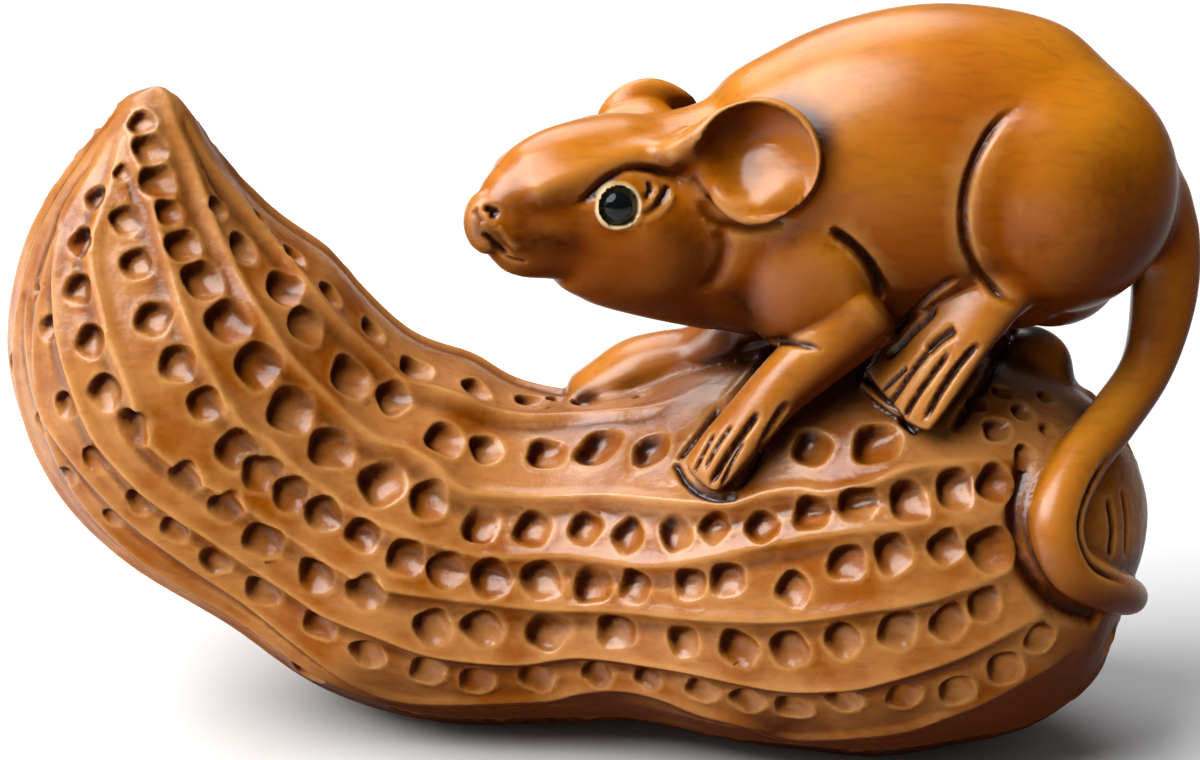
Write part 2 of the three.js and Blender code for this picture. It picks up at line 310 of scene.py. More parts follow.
@dataclass(frozen=True)
class Limb:
    """A form swept through oval sections, in millimetres.

    Attributes:
        name: The form's name.
        sections: Centre, half width and half height of each section.
        up_hint: The direction that each section's height is kept near.
        cap: How far each end bulges, as a share of the end's smaller half size.
        around: Points round each section.
        steps: Rows from one section to the next.
        cap_rings: Rows of each bulging end.
    """

    name: str
    sections: tuple[tuple[float, ...], ...]
    up_hint: Point = (0.0, 0.0, 1.0)
    cap: float = 0.9
    around: int = 32
    steps: int = 6
    cap_rings: int = 4

    def build(self) -> bpy.types.Object:
        """Models the limb.

        Returns:
            A closed skin.
        """
        rows = smooth_row(np.array(self.sections, float), self.steps)
        centres = rows[:, :3]
        along = unit(np.gradient(centres, axis=0))
        side = unit(np.cross(np.array(self.up_hint), along))
        up = np.cross(along, side)
        angles = np.linspace(0, 2 * math.pi, self.around, endpoint=False)

        def ring(i: int, push: float, share: float) -> np.ndarray:
            """One ring.

            Args:
                i: Its row.
                push: How far it is moved along the limb.
                share: The share of its full size that it has.

            Returns:
                Its points.
            """
            across = np.outer(np.cos(angles) * rows[i, 3] * share, side[i])
            rise = np.outer(np.sin(angles) * rows[i, 4] * share, up[i])
            return centres[i] + along[i] * push + across + rise

        last = len(rows) - 1
        turns = np.linspace(0, math.pi / 2, self.cap_rings + 1)[1:]
        start = [ring(0, -math.sin(t) * self.cap * min(rows[0, 3:5]), math.cos(t)) for t in turns[::-1]]
        end = [ring(last, math.sin(t) * self.cap * min(rows[last, 3:5]), math.cos(t)) for t in turns]
        return wrap_grid(self.name, np.array([*start, *(ring(i, 0, 1) for i in range(last + 1)), *end]))


@dataclass(frozen=True)
class Mass:
    """A rounded mass of the body: its centre and its radii along X, Y and Z, in millimetres."""

    name: str
    centre: Point
    radii: Point
    turn: Point = (0.0, 0.0, 0.0)

    def build(self) -> bpy.types.Object:
        """Models the mass.

        Returns:
            A closed skin.
        """
        deselect()
        bpy.ops.mesh.primitive_uv_sphere_add(
            segments=48, ring_count=24, location=self.centre, rotation=[math.radians(a) for a in self.turn],
            scale=self.radii)
        mass = bpy.context.active_object
        mass.name = self.name
        bpy.ops.object.transform_apply(location=True, rotation=True, scale=True)
        return mass


@dataclass(frozen=True)
class Ear:
    """A round ear: a shell that faces along a direction, to be dished out to a thin rim.

    Attributes:
        rim: Width of the rim, in millimetres.
        rim_height: Height of the rim over the shell's middle plane.
        hollow: Depth of the dish under the rim.
        deepest: The direction from the middle to the dish's deepest place.
        lean: How far that place is from the middle, as a share of the radius.
        slope: The power of the dish's wall, where more gives a flatter floor.
        least_facing: How far the skin has to face the ear's way to be dished, as a cosine.
        soft_edge: Where the dish's edge is smoothed and how widely, as shares of its radius.
        soft_rounds: How often.
    """

    name: str
    centre: Point
    radius: float
    outward: Point
    thickness: float = 3.0
    rim: float = 0.32
    rim_height: float = 0.3
    hollow: float = 1.25
    deepest: Point = (-0.8, 0.0, 0.6)
    lean: float = 0.55
    slope: float = 1.5
    least_facing: float = -0.2
    soft_edge: tuple[float, float] = (0.97, 0.1)
    soft_rounds: int = 7

    @property
    def axis(self) -> Vector:
        """The direction that the ear faces."""
        return Vector(self.outward).normalized()

    def build(self) -> bpy.types.Object:
        """Models the ear.

        Returns:
            A closed skin.
        """
        turn = tuple(math.degrees(a) for a in self.axis.to_track_quat("Z", "Y").to_euler())
        return Mass(self.name, self.centre, (self.radius, self.radius, self.thickness / 2), turn).build()


@dataclass(frozen=True)
class Rib:
    """A raised rib of the husk: its path through the photograph's frame, and its share of the full height."""

    path: tuple[Pixel, ...]
    share: float = 1.0


@dataclass(frozen=True)
class Ridge:
    """The section of the husk's ribs, which slope on their inner side and are steep on their outer side.

    Attributes:
        height: Height of the crest, in millimetres.
        hidden: The share of it that ribs on the hidden side have.
        crest: Half the crest's width, on the inner and the outer side, in millimetres.
        foot: The same of the foot.
        groove: Middle and half width of the groove along the outer foot, in millimetres.
        parts: What the crest, the foot and the groove each add, as shares of the height.
        stain_and_painted_shade: How dark the painted shadow lies in the groove.
        full_shadow_height: Height from which on it is that dark, in millimetres.
        end_height: Share of the height at a rib's very ends.
        end_rise: How fast it rises from there, in shares of the height over the rib's length.
    """

    height: float = 0.46
    hidden: float = 0.8
    crest: tuple[float, float] = (0.34 * 1.25, 0.34 * 0.8)
    foot: tuple[float, float] = (1.15 * 1.3, 1.15 * 0.65)
    groove: tuple[float, float] = (1.15 * 0.75, 1.15 * 0.35)
    parts: Point = (0.6, 0.4, -0.12)
    stain_and_painted_shade: float = 0.32
    full_shadow_height: float = 0.3
    end_height: float = 0.25
    end_rise: float = 8.0

    def run_out(self, count: int) -> np.ndarray:
        """How high a rib of so many points stands at each of them, as a share, lower towards its ends."""
        from_end = np.minimum(np.arange(count), np.arange(count)[::-1])
        return np.minimum(1, self.end_height + self.end_rise * from_end / count)


@dataclass(frozen=True)
class Scoop:
    """The shape of the husk's pits, in shares of each pit's radius.

    Attributes:
        depth: Depth at the deepest place.
        wall: The power of the wall, where more gives a flatter floor.
        lean: How far the deepest place is from the middle, towards the light.
        reach: How far round its middle a pit changes the skin.
        squash: The most that a pit is narrowed, one way.
        waves: How far the edge strays from round, in three waves and in four.
        lip: Place and half width of the raised lip.
        lip_height: Its height, in millimetres.
        shade: Place and half width of the painted shade on the wall, where the pit's own shadow falls.
        shade_side: How fast that painted shade comes in towards the light, and its start in the middle.
        shade_strength: How dark it is, and the darkest that it gets.
        edge: Where the mask of the pits ends.
    """

    depth: float = 0.62
    wall: float = 2.6
    lean: float = 0.42
    reach: float = 1.6
    squash: float = 0.16
    waves: tuple[float, float] = (0.035, 0.05)
    lip: tuple[float, float] = (1.1, 0.14)
    lip_height: float = 0.07
    shade: tuple[float, float] = (0.7, 0.32)
    shade_side: tuple[float, float] = (1.3, 0.1)
    shade_strength: tuple[float, float] = (0.85, 0.8)
    edge: float = 1.5


@dataclass(frozen=True)
class Wear:
    """How stain, rubbing, patina and painted shade lie on the finished form.

    Attributes:
        near: Rounds of smoothing that tell narrow hollows and edges.
        far: Rounds that tell wide hollows.
        step: How far each round goes.
        narrow: Depth in millimetres from which on a narrow hollow is fully darkened with stain and painted
            shade, and how darkly.
        wide: The same of a wide hollow.
        edge: Height in millimetres from which on an edge is fully rubbed.
        rays: How many directions each place is looked at from.
        reach: How near something has to be to hide a place, in millimetres.
        lift: How far over the skin each look starts, in millimetres.
        spread: How widely the directions spread round the skin's own.
        level: The slope under which a direction never meets the floor.
        blurs: Rounds that smooth the result.
        gain: How strongly hidden places darken, as patina and painted shade.
        pit_relief: How much of that the pits are spared.
        away: How much darker a place is that faces away from the light.
        under: How much darker it is underneath.
    """

    near: int = 6
    far: int = 36
    step: float = 0.7
    narrow: tuple[float, float] = (0.07, 0.2)
    wide: tuple[float, float] = (0.3, 0.3)
    edge: float = 0.035
    rays: int = 10
    reach: float = 9.0
    lift: float = 0.05
    spread: float = 0.95
    level: float = 1e-3
    blurs: int = 2
    gain: float = 1.4
    pit_relief: float = 0.6
    away: float = 0.85
    under: float = 0.4


@dataclass(frozen=True)
class Cut:
    """A stroke of the knife or the file, or a wide patch of painted shade, seen in the photograph's frame.

    Attributes:
        path: Pixels that it runs through.
        width: Half its width, in millimetres.
        height: How far it stands up, or is cut in where it is below zero, in millimetres.
        stain_and_painted_shade: How dark the stain and the painted shade lie in it.
        taper: Whether it runs out at its ends, if it is narrow.
        mirror: The plane that it is repeated across, on the hidden side.
    """

    path: tuple[Pixel, ...]
    width: float
    height: float
    stain_and_painted_shade: float = 0.0
    taper: bool = True
    mirror: Plane | None = None


@dataclass
class Husk:
    """The peanut pod: sections from its raised tip, down its neck and along to its right end.

    Attributes:
        sections: Centre and radius of each section, in millimetres.
        tip: The point that closes the raised end.
        end: The point that closes the right end.
        steps: Rows from one section to the next.
        around: Points round each row.
        turn_rows: How many rows to each side a row's direction is taken from.
        hidden_ribs: Angles of the ribs that the photograph doesn't show, in degrees up from the left.
        hidden_edges: Angles of the shown ribs on both sides of those.
        hidden_rows: The first row of the hidden ribs, how many rows before the last they end, and their step.
        rib_steps: Points of a hidden rib from row to row.
        pit_pitch: How far the hidden pits are apart, in millimetres.
        hidden_pit: Their radius.
        pit_stray: How far they stray along, in pitches, and round, in degrees.
        skin_gap: How near the skin a hidden pit's place has to be, in millimetres.
        sight_lift: How far over the skin the look to the camera starts, in millimetres.
        grazing: The cosine under which skin faces too far from the camera to show its pits.
    """

    sections: tuple[tuple[float, ...], ...] = (
        (-24.5, 1.5, 36.2, 1.3), (-24.6, 1.5, 35.1, 2.3), (-24.7, 1.5, 33.0, 3.6), (-24.9, 1.5, 30.5, 5.3),
        (-24.9, 1.5, 27.6, 7.1), (-24.0, 1.2, 23.9, 9.1), (-22.5, 1.0, 20.2, 9.9), (-20.0, 0.8, 17.2, 9.85),
        (-15.7, 0.5, 14.0, 9.4), (-11.3, 0.2, 11.45, 10.0), (-6.8, -0.3, 9.9, 9.6), (-1.7, -1.2, 9.9, 9.0),
        (2.2, -2.0, 10.4, 9.1), (6.7, -3.0, 11.1, 10.3), (11.1, -3.5, 11.5, 11.0), (15.0, -3.7, 11.8, 11.5),
        (19.5, -3.7, 12.0, 11.0), (22.8, -3.5, 12.0, 10.3), (25.6, -3.2, 12.2, 8.95),
        (27.4, -3.1, 12.3, 7.3), (28.9, -3.0, 12.1, 4.8), (29.7, -2.9, 11.9, 2.7),
    )
    tip: Point = (-24.4, 1.5, 36.9)
    end: Point = (30.15, -2.9, 11.8)
    steps: int = 10
    around: int = 220
    turn_rows: int = 14
    hidden_ribs: tuple[float, ...] = (-50, -68, -86, -112, -130, -148, -165, -184, -202, -222, -250)
    hidden_edges: tuple[float, float] = (-32, -283)
    hidden_rows: tuple[int, int, int] = (16, 2, 2)
    rib_steps: int = 5
    pit_pitch: float = 3.0
    hidden_pit: float = 0.95
    pit_stray: tuple[float, float] = (0.12, 1.5)
    skin_gap: float = 0.25
    sight_lift: float = 0.2
    grazing: float = 0.12

    @cached_property
    def rows(self) -> tuple[np.ndarray, np.ndarray, np.ndarray]:
        """The smooth rows of the husk.

        Returns:
            The rows, and the directions towards the left and the inner side of each.
        """
        rows = smooth_row(np.array(self.sections, float), self.steps)
        index = np.arange(len(rows))
        after = np.minimum(index + self.turn_rows, len(rows) - 1)
        before = np.maximum(index - self.turn_rows, 0)
        along = unit(rows[after, :3] - rows[before, :3])
        inner = unit(np.cross(np.array([0, -1.0, 0]), along))
        return rows, np.cross(along, inner), inner

    def build(self) -> bpy.types.Object:
        """Models the husk without its relief.

        Returns:
            A closed skin.
        """
        rows, left, inner = self.rows
        angles = np.linspace(0, 2 * math.pi, self.around, endpoint=False)
        cos, sin = np.cos(angles)[None, :, None], np.sin(angles)[None, :, None]
        rings = rows[:, None, :3] + (cos * left[:, None] + sin * inner[:, None]) * rows[:, None, 3:4]
        pole = [np.repeat(np.array([p]), self.around, axis=0) for p in (self.tip, self.end)]
        return wrap_grid("husk", np.array([pole[0], *rings, pole[1]]))

    def on_skin(self, place: float, angle: float) -> Vector:
        """A point of the husk's skin.

        Args:
            place: Place along the husk, as a share of its rows.
            angle: Degrees up from level on the left.

        Returns:
            The point.
        """
        rows, left, inner = self.rows
        i = int(round(place * (len(rows) - 1)))
        turn = math.radians(angle)
        return Vector(rows[i, :3] + rows[i, 3] * (math.cos(turn) * left[i] + math.sin(turn) * inner[i]))

    def hidden_rib_paths(self) -> list[list[Vector]]:
        """The ribs on the sides that the photograph doesn't show.

        Returns:
            The points of each, on the skin and close together.
        """
        count = len(self.rows[0])
        first, before_last, step = self.hidden_rows
        rows = range(first, count - before_last, step)
        paths = [[self.on_skin(i / count, angle) for i in rows] for angle in self.hidden_ribs]
        return [list(smooth_row(np.array(path), self.rib_steps)) for path in paths]

    def hidden_pits(self) -> list[Vector]:
        """The pits between those ribs.

        Returns:
            Their places, before those on skin that the photograph shows are left out.
        """
        rows = self.rows[0]
        length = np.linalg.norm(np.diff(rows[:, :3], axis=0), axis=1).sum()
        count = int(length / self.pit_pitch)
        first, last = self.hidden_edges
        edges = (first, *self.hidden_ribs, last)
        along, round_it = self.pit_stray
        dice = random.Random(SEED)
        pits = []
        for panel, (a, b) in enumerate(zip(edges, edges[1:])):
            for i in range(1, count):
                place = (i + 0.5 * (panel % 2) + dice.uniform(-along, along)) / (count + 1)
                pits.append(self.on_skin(place, (a + b) / 2 + dice.uniform(-round_it, round_it)))
        return pits


class Clay:
    """The carving while it is shaped: one fine closed mesh, in millimetres.

    Attributes:
        piece: The object.
        mesh: Its mesh.
        points: The vertices, which are newer than the mesh until they are stored.
        normals: The direction that each vertex faced when they were last stored.
        tree: The form as it was then, for casting rays.
        edges: The two ends of each edge.
        degree: How many neighbours each vertex has.
        stain_and_painted_shade: How dark the stain and the painted shade lie at each vertex, from 0 to 1.
        pits: How far each vertex is inside a pit, from 0 to 1.
        husk: Whether each vertex is of the husk, from 0 to 1.
        dice: The random draws of the pits.
    """

    def __init__(self, pieces: list[bpy.types.Object]) -> None:
        """Joins closed skins into one mesh of even fineness.

        Args:
            pieces: The skins, which may run into each other.
        """
        pick(*pieces)
        bpy.ops.object.join()
        self.piece = pieces[0]
        self.piece.data.remesh_voxel_size = VOXEL
        self.piece.data.remesh_voxel_adaptivity = 0
        self.piece.data.use_remesh_preserve_attributes = True
        bpy.ops.object.voxel_remesh()
        self.mesh = self.piece.data
        self.points = read_rows(self.mesh.vertices, "co", 3)
        self.edges = read_rows(self.mesh.edges, "vertices", 2, int)
        self.degree = np.bincount(self.edges.ravel(), minlength=len(self.points))[:, None]
        masks = (Mask.STAIN_AND_PAINTED_SHADE, Mask.PIT, Mask.HUSK)
        self.stain_and_painted_shade, self.pits, self.husk = (read_mask(self.mesh, mask) for mask in masks)
        self.dice = np.random.default_rng(SEED)
        self.relax(np.ones(len(self.points)), FIRST_ROUNDS)

    def store(self) -> None:
        """Puts the points back into the mesh and reads its normals and its tree again."""
        self.mesh.vertices.foreach_set("co", self.points.ravel())
        self.mesh.update()
        self.normals = read_rows(self.mesh.vertex_normals, "vector", 3)
        self.tree = BVHTree.FromObject(self.piece, bpy.context.evaluated_depsgraph_get())
        self.by_x = np.argsort(self.points[:, 0])
        self.sorted_x = self.points[self.by_x, 0]

    def near(self, low: np.ndarray, high: np.ndarray) -> np.ndarray:
        """The vertices inside a box.

        Args:
            low: The box's lowest corner.
            high: Its highest corner.

        Returns:
            Their numbers.
        """
        start, stop = np.searchsorted(self.sorted_x, (low[0], high[0]))
        some = self.by_x[start:stop]
        inside = ((self.points[some] > low) & (self.points[some] < high)).all(axis=1)
        return some[inside]

    def mean(self, values: np.ndarray) -> np.ndarray:
        """The mean of each vertex's neighbours, from one row for each vertex."""
        return neighbour_total(self.edges.T, values) / self.degree

    def relax(self, weight: np.ndarray, rounds: int) -> None:
        """Smooths the form.

        Args:
            weight: How strongly each vertex is smoothed, from 0 to 1.
            rounds: How often.
        """
        used = weight[:, None] * RELAX_STEP
        for _ in range(rounds):
            self.points += (self.mean(self.points) - self.points) * used
        self.store()

    def relax_spot(self, centre: Point, radius: float, rounds: int) -> None:
        """Smooths the form round a point, less towards the radius, and leaves the storing for later.

        Args:
            centre: The point.
            radius: How far from it the form is smoothed.
            rounds: How often.
        """
        distance = np.linalg.norm(self.points - np.array(centre), axis=1)
        near = np.where(distance < radius)[0]
        chosen = np.zeros(len(self.points), bool)
        chosen[near] = True
        ends = np.searchsorted(near, self.edges[chosen[self.edges].all(axis=1)].T)
        degree = np.maximum(np.bincount(ends.ravel(), minlength=len(near)), 1)[:, None]
        weight = RELAX_STEP * np.clip(SPOT_EDGE - SPOT_EDGE * distance[near] / radius, 0, 1)[:, None]
        spot = self.points[near]
        for _ in range(rounds):
            spot += (neighbour_total(ends, spot) / degree - spot) * weight
        self.points[near] = spot

    def cast(self, pixel: Pixel) -> Vector | None:
        """The point of the carving that a pixel shows, if it shows one."""
        return self.tree.ray_cast(CAMERA.place, CAMERA.ray(pixel))[0]

    def trace(self, path: tuple[Pixel, ...]) -> np.ndarray:
        """The points of the carving under a smooth path through the photograph's frame.

        Args:
            path: Pixels that the path runs through.

        Returns:
            Points close together.
        """
        keys = np.array(path, float)
        steps = max(FEWEST_STEPS, int(np.linalg.norm(np.diff(keys, axis=0), axis=1).max() / STEP_PIXELS))
        hits = [self.cast(tuple(pixel)) for pixel in smooth_row(keys, steps)]
        return np.array([hit for hit in hits if hit is not None])

    def push(self, path: np.ndarray, cut: Cut) -> None:
        """Raises or cuts the carving along a path.

        Args:
            path: Points close together.
            cut: The stroke's width, height, and stain with painted shade.
        """
        if len(path) < 2:
            return
        reach = cut.width * STROKE_REACH
        low, high = path.min(axis=0) - reach, path.max(axis=0) + reach
        near = self.near(low, high)
        best = np.full(len(near), np.inf)
        place = np.zeros(len(near))
        for i, point in enumerate(path):
            distance = np.linalg.norm(self.points[near] - point, axis=1)
            closer = distance < best
            best[closer] = distance[closer]
            place[closer] = i / (len(path) - 1)
        share = best / cut.width
        fall = np.exp(-(share**2) * STROKE_FALL)
        fall[best > reach] = 0
        if cut.taper and cut.width < NARROW:
            run_out = np.clip(np.minimum(place, 1 - place) * END_PARTS, 0, 1)
            fall *= run_out**2 * (3 - 2 * run_out)
        self.points[near] += self.normals[near] * (fall * cut.height)[:, None]
        self.stain_and_painted_shade[near] = np.maximum(self.stain_and_painted_shade[near], fall * cut.stain_and_painted_shade)

    def cut(self, cut: Cut, mirrors: dict[Plane, Matrix]) -> None:
        """Makes a stroke where the photograph shows it, and its mirror image on the hidden side.

        Args:
            cut: The stroke.
            mirrors: The mirror image across each plane.
        """
        path = self.trace(cut.path)
        self.push(path, cut)
        if cut.mirror and len(path) > 1:
            image = mirrors[cut.mirror]
            other = [self.tree.find_nearest(image @ Vector(point))[0] for point in path]
            self.push(np.array([p for p in other if p is not None]), cut)

    def pit(self, centre: Vector, radius: float, shape: Scoop) -> None:
        """Scoops a pit with a crisp edge.

        Args:
            centre: A point of the skin.
            radius: The pit's radius.
            shape: Its shape.
        """
        middle, reach = np.array(centre), radius * shape.reach
        near = self.near(middle - reach, middle + reach)
        axis = np.array(self.tree.find_nearest(centre)[1])
        offset = self.points[near] - middle
        long_way = unit(np.cross(axis, self.dice.normal(size=3)))
        offset -= np.outer(offset @ long_way, long_way) * self.dice.uniform(0.0, shape.squash)
        turn = np.arctan2(offset @ long_way, offset @ np.cross(axis, long_way))
        first, second = self.dice.uniform(0, 2 * math.pi, 2)
        three, four = shape.waves
        wobble = 1 + three * np.cos(3 * turn + first) + four * np.cos(4 * turn + second)
        share = np.linalg.norm(offset, axis=1) / radius / wobble
        lean = unit(TOWARDS_LIGHT - axis * (TOWARDS_LIGHT @ axis))
        way = self.leaning(offset, share, lean * radius * shape.lean, radius) / wobble
        scoop = np.clip(1 - way**shape.wall, 0, 1)
        lip = bell(share, *shape.lip) * shape.lip_height
        self.points[near] += np.outer(lip - scoop * (radius * shape.depth), axis)
        # Painted shade on the wall on the side towards the light, where the pit's own shadow falls, laid into
        # the stain mask
        rise, start = shape.shade_side
        strength, darkest = shape.shade_strength
        shade = bell(share, *shape.shade) * np.clip(offset @ lean / radius * rise + start, 0, 1)
        self.stain_and_painted_shade[near] = np.maximum(self.stain_and_painted_shade[near], np.clip(shade * strength, 0, darkest))
        self.pits[near] = np.maximum(self.pits[near], np.clip(shape.edge - share, 0, 1))

    @staticmethod
    def leaning(offset: np.ndarray, share: np.ndarray, shift: np.ndarray, radius: float) -> np.ndarray:
        """Shares of the way from the deepest place of a lopsided hollow to its edge.

        Args:
            offset: Places from the hollow's middle.
            share: Their shares of the way from the middle to the edge.
            shift: Where the deepest place is, from the middle.
            radius: The hollow's radius.

        Returns:
            A value for each place, which is 1 at the edge.
        """
        moved = offset - np.outer(np.clip(1 - share, 0, 1), shift)
        return np.linalg.norm(moved, axis=1) / radius

    def raise_ribs(self, paths: list[np.ndarray], heights: list[float], ridge: Ridge) -> None:
        """Raises ribs on the husk.

        Args:
            paths: Points along each rib.
            heights: Height of each rib, in millimetres.
            ridge: The ribs' section.
        """
        rows = np.vstack(paths)
        rise = np.concatenate([height * ridge.run_out(len(path)) for path, height in zip(paths, heights)])
        along = np.vstack([unit(np.gradient(path, axis=0)) for path in paths])
        tree = KDTree(len(rows))
        for i, point in enumerate(rows):
            tree.insert(point, i)
        tree.balance()
        found = [tree.find(point) for point in self.points]
        distance = np.array([hit[2] for hit in found])
        index = np.array([hit[1] for hit in found])
        inner = ((self.points - rows[index]) * np.cross(self.normals, along[index])).sum(axis=1) > 0
        crest = bell(distance, 0.0, np.where(inner, *ridge.crest))
        foot = bell(distance, 0.0, np.where(inner, *ridge.foot))
        groove = np.where(inner, 0, bell(distance, *ridge.groove))
        add_crest, add_foot, add_groove = ridge.parts
        form = add_crest * crest + add_foot * foot + add_groove * groove
        self.points += self.normals * (rise[index] * form)[:, None]
        # Painted shadow along each rib's outer foot, laid into the stain mask
        depth = np.clip(rise[index] / ridge.full_shadow_height, 0, 1)
        self.stain_and_painted_shade = np.maximum(self.stain_and_painted_shade, ridge.stain_and_painted_shade * groove * depth)

    def dish(self, ear: Ear) -> None:
        """Hollows an ear out to its rim.

        Args:
            ear: The ear.
        """
        axis = np.array(ear.axis)
        offset = self.points - np.array(ear.centre)
        height = offset @ axis
        radius = ear.radius - ear.rim
        flat = offset - np.outer(height, axis)
        share = np.linalg.norm(flat, axis=1) / radius
        close = np.abs(height) < ear.thickness
        facing = (self.normals @ axis > ear.least_facing) & (share < 1) & close
        lean = unit(np.array(ear.deepest)) * radius * ear.lean
        way = self.leaning(flat[facing], share[facing], lean, radius)
        floor = ear.rim_height - ear.hollow * np.clip(1 - way**ear.slope, 0, 1)
        self.points[facing] += np.outer(np.minimum(floor - height[facing], 0), axis)
        self.relax(bell(share, *ear.soft_edge) * close, ear.soft_rounds)

    def socket(self, centre: Vector, outward: Vector, radius: float) -> None:
        """Sinks a ball-shaped socket for a bead.

        Args:
            centre: Middle of the ball.
            outward: The direction that the socket opens to.
            radius: The ball's radius.
        """
        offset = self.points - np.array(centre)
        depth = offset @ np.array(outward)
        across = np.linalg.norm(offset - np.outer(depth, outward), axis=1)
        inside = (across < radius) & (np.abs(depth) < radius * SOCKET_REACH)
        floor = -np.sqrt(np.maximum(radius**2 - across[inside] ** 2, 0))
        self.points[inside] += np.outer(np.minimum(floor - depth[inside], 0), outward)


@dataclass
class Rat:
    """The rat: a crouching body, its head turned to its left, with legs, ears and a hooked tail."""

    body: Limb = Limb("body", (
        (29.9, -1.6, 31.0, 2.7, 2.8), (28.0, -1.8, 32.0, 5.0, 5.4), (24.4, -2.2, 32.7, 6.9, 8.3),
        (19.5, -2.6, 33.6, 7.5, 9.0), (15.2, -3.0, 33.3, 7.2, 8.9), (10.9, -3.2, 32.3, 6.4, 8.0),
        (7.6, -3.6, 31.4, 5.7, 7.0), (4.9, -4.2, 31.4, 5.2, 6.1), (2.2, -5.2, 31.9, 4.9, 5.5),
        (0.0, -6.3, 32.7, 4.4, 5.1), (-2.1, -7.4, 33.2, 3.5, 4.35), (-4.3, -8.5, 33.0, 2.6, 3.5),
        (-5.4, -9.15, 33.0, 2.0, 2.6), (-5.95, -9.5, 33.0, 1.45, 1.8)), around=64, steps=8)
    tail: Limb = Limb("tail", (
        (29.4, -1.6, 33.0, 2.1, 2.1), (30.5, -1.7, 31.1, 1.95, 1.9), (30.95, -2.0, 28.3, 1.95, 1.6),
        (30.8, -2.8, 25.4, 1.8, 1.45), (29.9, -4.4, 22.6, 1.5, 1.38), (27.9, -6.9, 20.6, 1.45, 1.45),
        (25.8, -9.6, 19.0, 1.52, 1.52), (24.5, -12.0, 16.9, 1.6, 1.6), (25.0, -12.7, 14.6, 1.52, 1.52),
        (26.8, -11.6, 12.8, 1.38, 1.38), (28.5, -9.0, 11.1, 1.16, 1.16), (29.4, -5.8, 9.5, 0.94, 0.94),
        (29.0, -2.6, 8.3, 0.72, 0.72)), up_hint=(0.0, -1.0, 0.0), steps=8)
    limbs: tuple[Limb, ...] = (
        Limb("left_hind_foot", (
            (21.6, -7.2, 29.2, 2.6, 2.1), (19.8, -7.9, 27.6, 2.85, 1.6), (18.4, -8.4, 26.0, 3.0, 1.3),
            (17.2, -8.9, 24.4, 3.05, 1.05), (16.4, -9.2, 23.2, 3.0, 0.85), (15.9, -9.4, 22.3, 2.8, 0.7)),
            up_hint=(-0.3, -0.5, 1.0), cap=0.5),
        Limb("right_hind_foot", (
            (22.8, 1.0, 28.2, 2.0, 2.4), (21.2, 1.8, 26.4, 1.9, 2.0), (19.2, 2.3, 24.6, 2.2, 1.5),
            (17.2, 2.7, 23.2, 2.5, 1.0), (15.0, 3.1, 22.6, 2.4, 0.8)), up_hint=(-0.3, 0.5, 1.0), cap=0.5),
        Limb("left_foreleg", (
            (14.0, -8.2, 27.4, 2.3, 2.4), (11.6, -9.0, 25.2, 1.8, 1.9), (9.4, -9.6, 23.2, 1.6, 1.5),
            (7.8, -10.2, 21.5, 1.7, 1.15), (6.6, -10.6, 20.2, 1.75, 0.95), (5.6, -10.9, 19.0, 1.55, 0.75)),
            up_hint=(-0.4, -0.5, 1.0), cap=0.6),
        Limb("right_foreleg", (
            (9.9, 0.4, 24.2, 2.4, 2.8), (7.5, 0.9, 22.3, 2.2, 2.0), (5.4, 1.4, 20.9, 2.2, 1.8),
            (3.6, 1.7, 20.4, 2.3, 1.8), (2.0, 1.9, 20.0, 2.4, 1.7), (0.3, 1.9, 19.3, 2.2, 1.35),
            (-1.3, 2.1, 18.7, 1.8, 0.8)), cap=0.6),
    )
    folds: tuple[Limb, ...] = (
        Limb("left_ear_fold", (
            (3.5, -8.0, 36.1, 0.9, 1.0), (4.5, -8.8, 36.8, 0.8, 0.85), (5.4, -9.3, 37.8, 0.7, 0.7),
            (6.5, -9.2, 38.8, 0.5, 0.5), (8.0, -8.8, 39.35, 0.32, 0.32)), steps=4),
    )
    masses: tuple[Mass, ...] = (
        Mass("belly", (17.8, -2.8, 30.2), (7.5, 5.6, 7.0)),
        Mass("left_haunch", (24.7, -4.6, 33.3), (6.6, 6.3, 7.0)),
        Mass("rump", (24.6, -2.6, 28.2), (4.1, 3.8, 3.6)),
        Mass("right_haunch", (24.7, 1.0, 32.8), (5.9, 5.6, 6.0)),
        Mass("right_heel", (23.6, -0.3, 21.0), (2.8, 2.6, 2.3)),
        Mass("left_shoulder", (11.6, -6.4, 29.2), (4.5, 3.9, 5.0)),
        Mass("right_shoulder", (11.0, 0.2, 28.0), (4.2, 3.6, 5.0)),
        Mass("left_ear_root", (5.2, -7.2, 35.3), (1.7, 1.7, 2.5)),
        Mass("right_ear_root", (2.3, -1.0, 34.3), (2.7, 2.4, 2.5)),
    )
    ears: tuple[Ear, ...] = (
        Ear("left_ear", (8.45, -9.4, 36.4), 3.4, (-0.12, -0.9, 0.3)),
        Ear("right_ear", (2.5, 0.5, 34.6), 3.0, (-0.3, 0.93, -0.05), thickness=2.4, hollow=1.2),
    )

    def build(self) -> list[bpy.types.Object]:
        """Models every form of the rat.

        Returns:
            Closed skins that run into each other.
        """
        forms = (self.body, self.tail, *self.limbs, *self.folds, *self.masses, *self.ears)
        return [form.build() for form in forms]


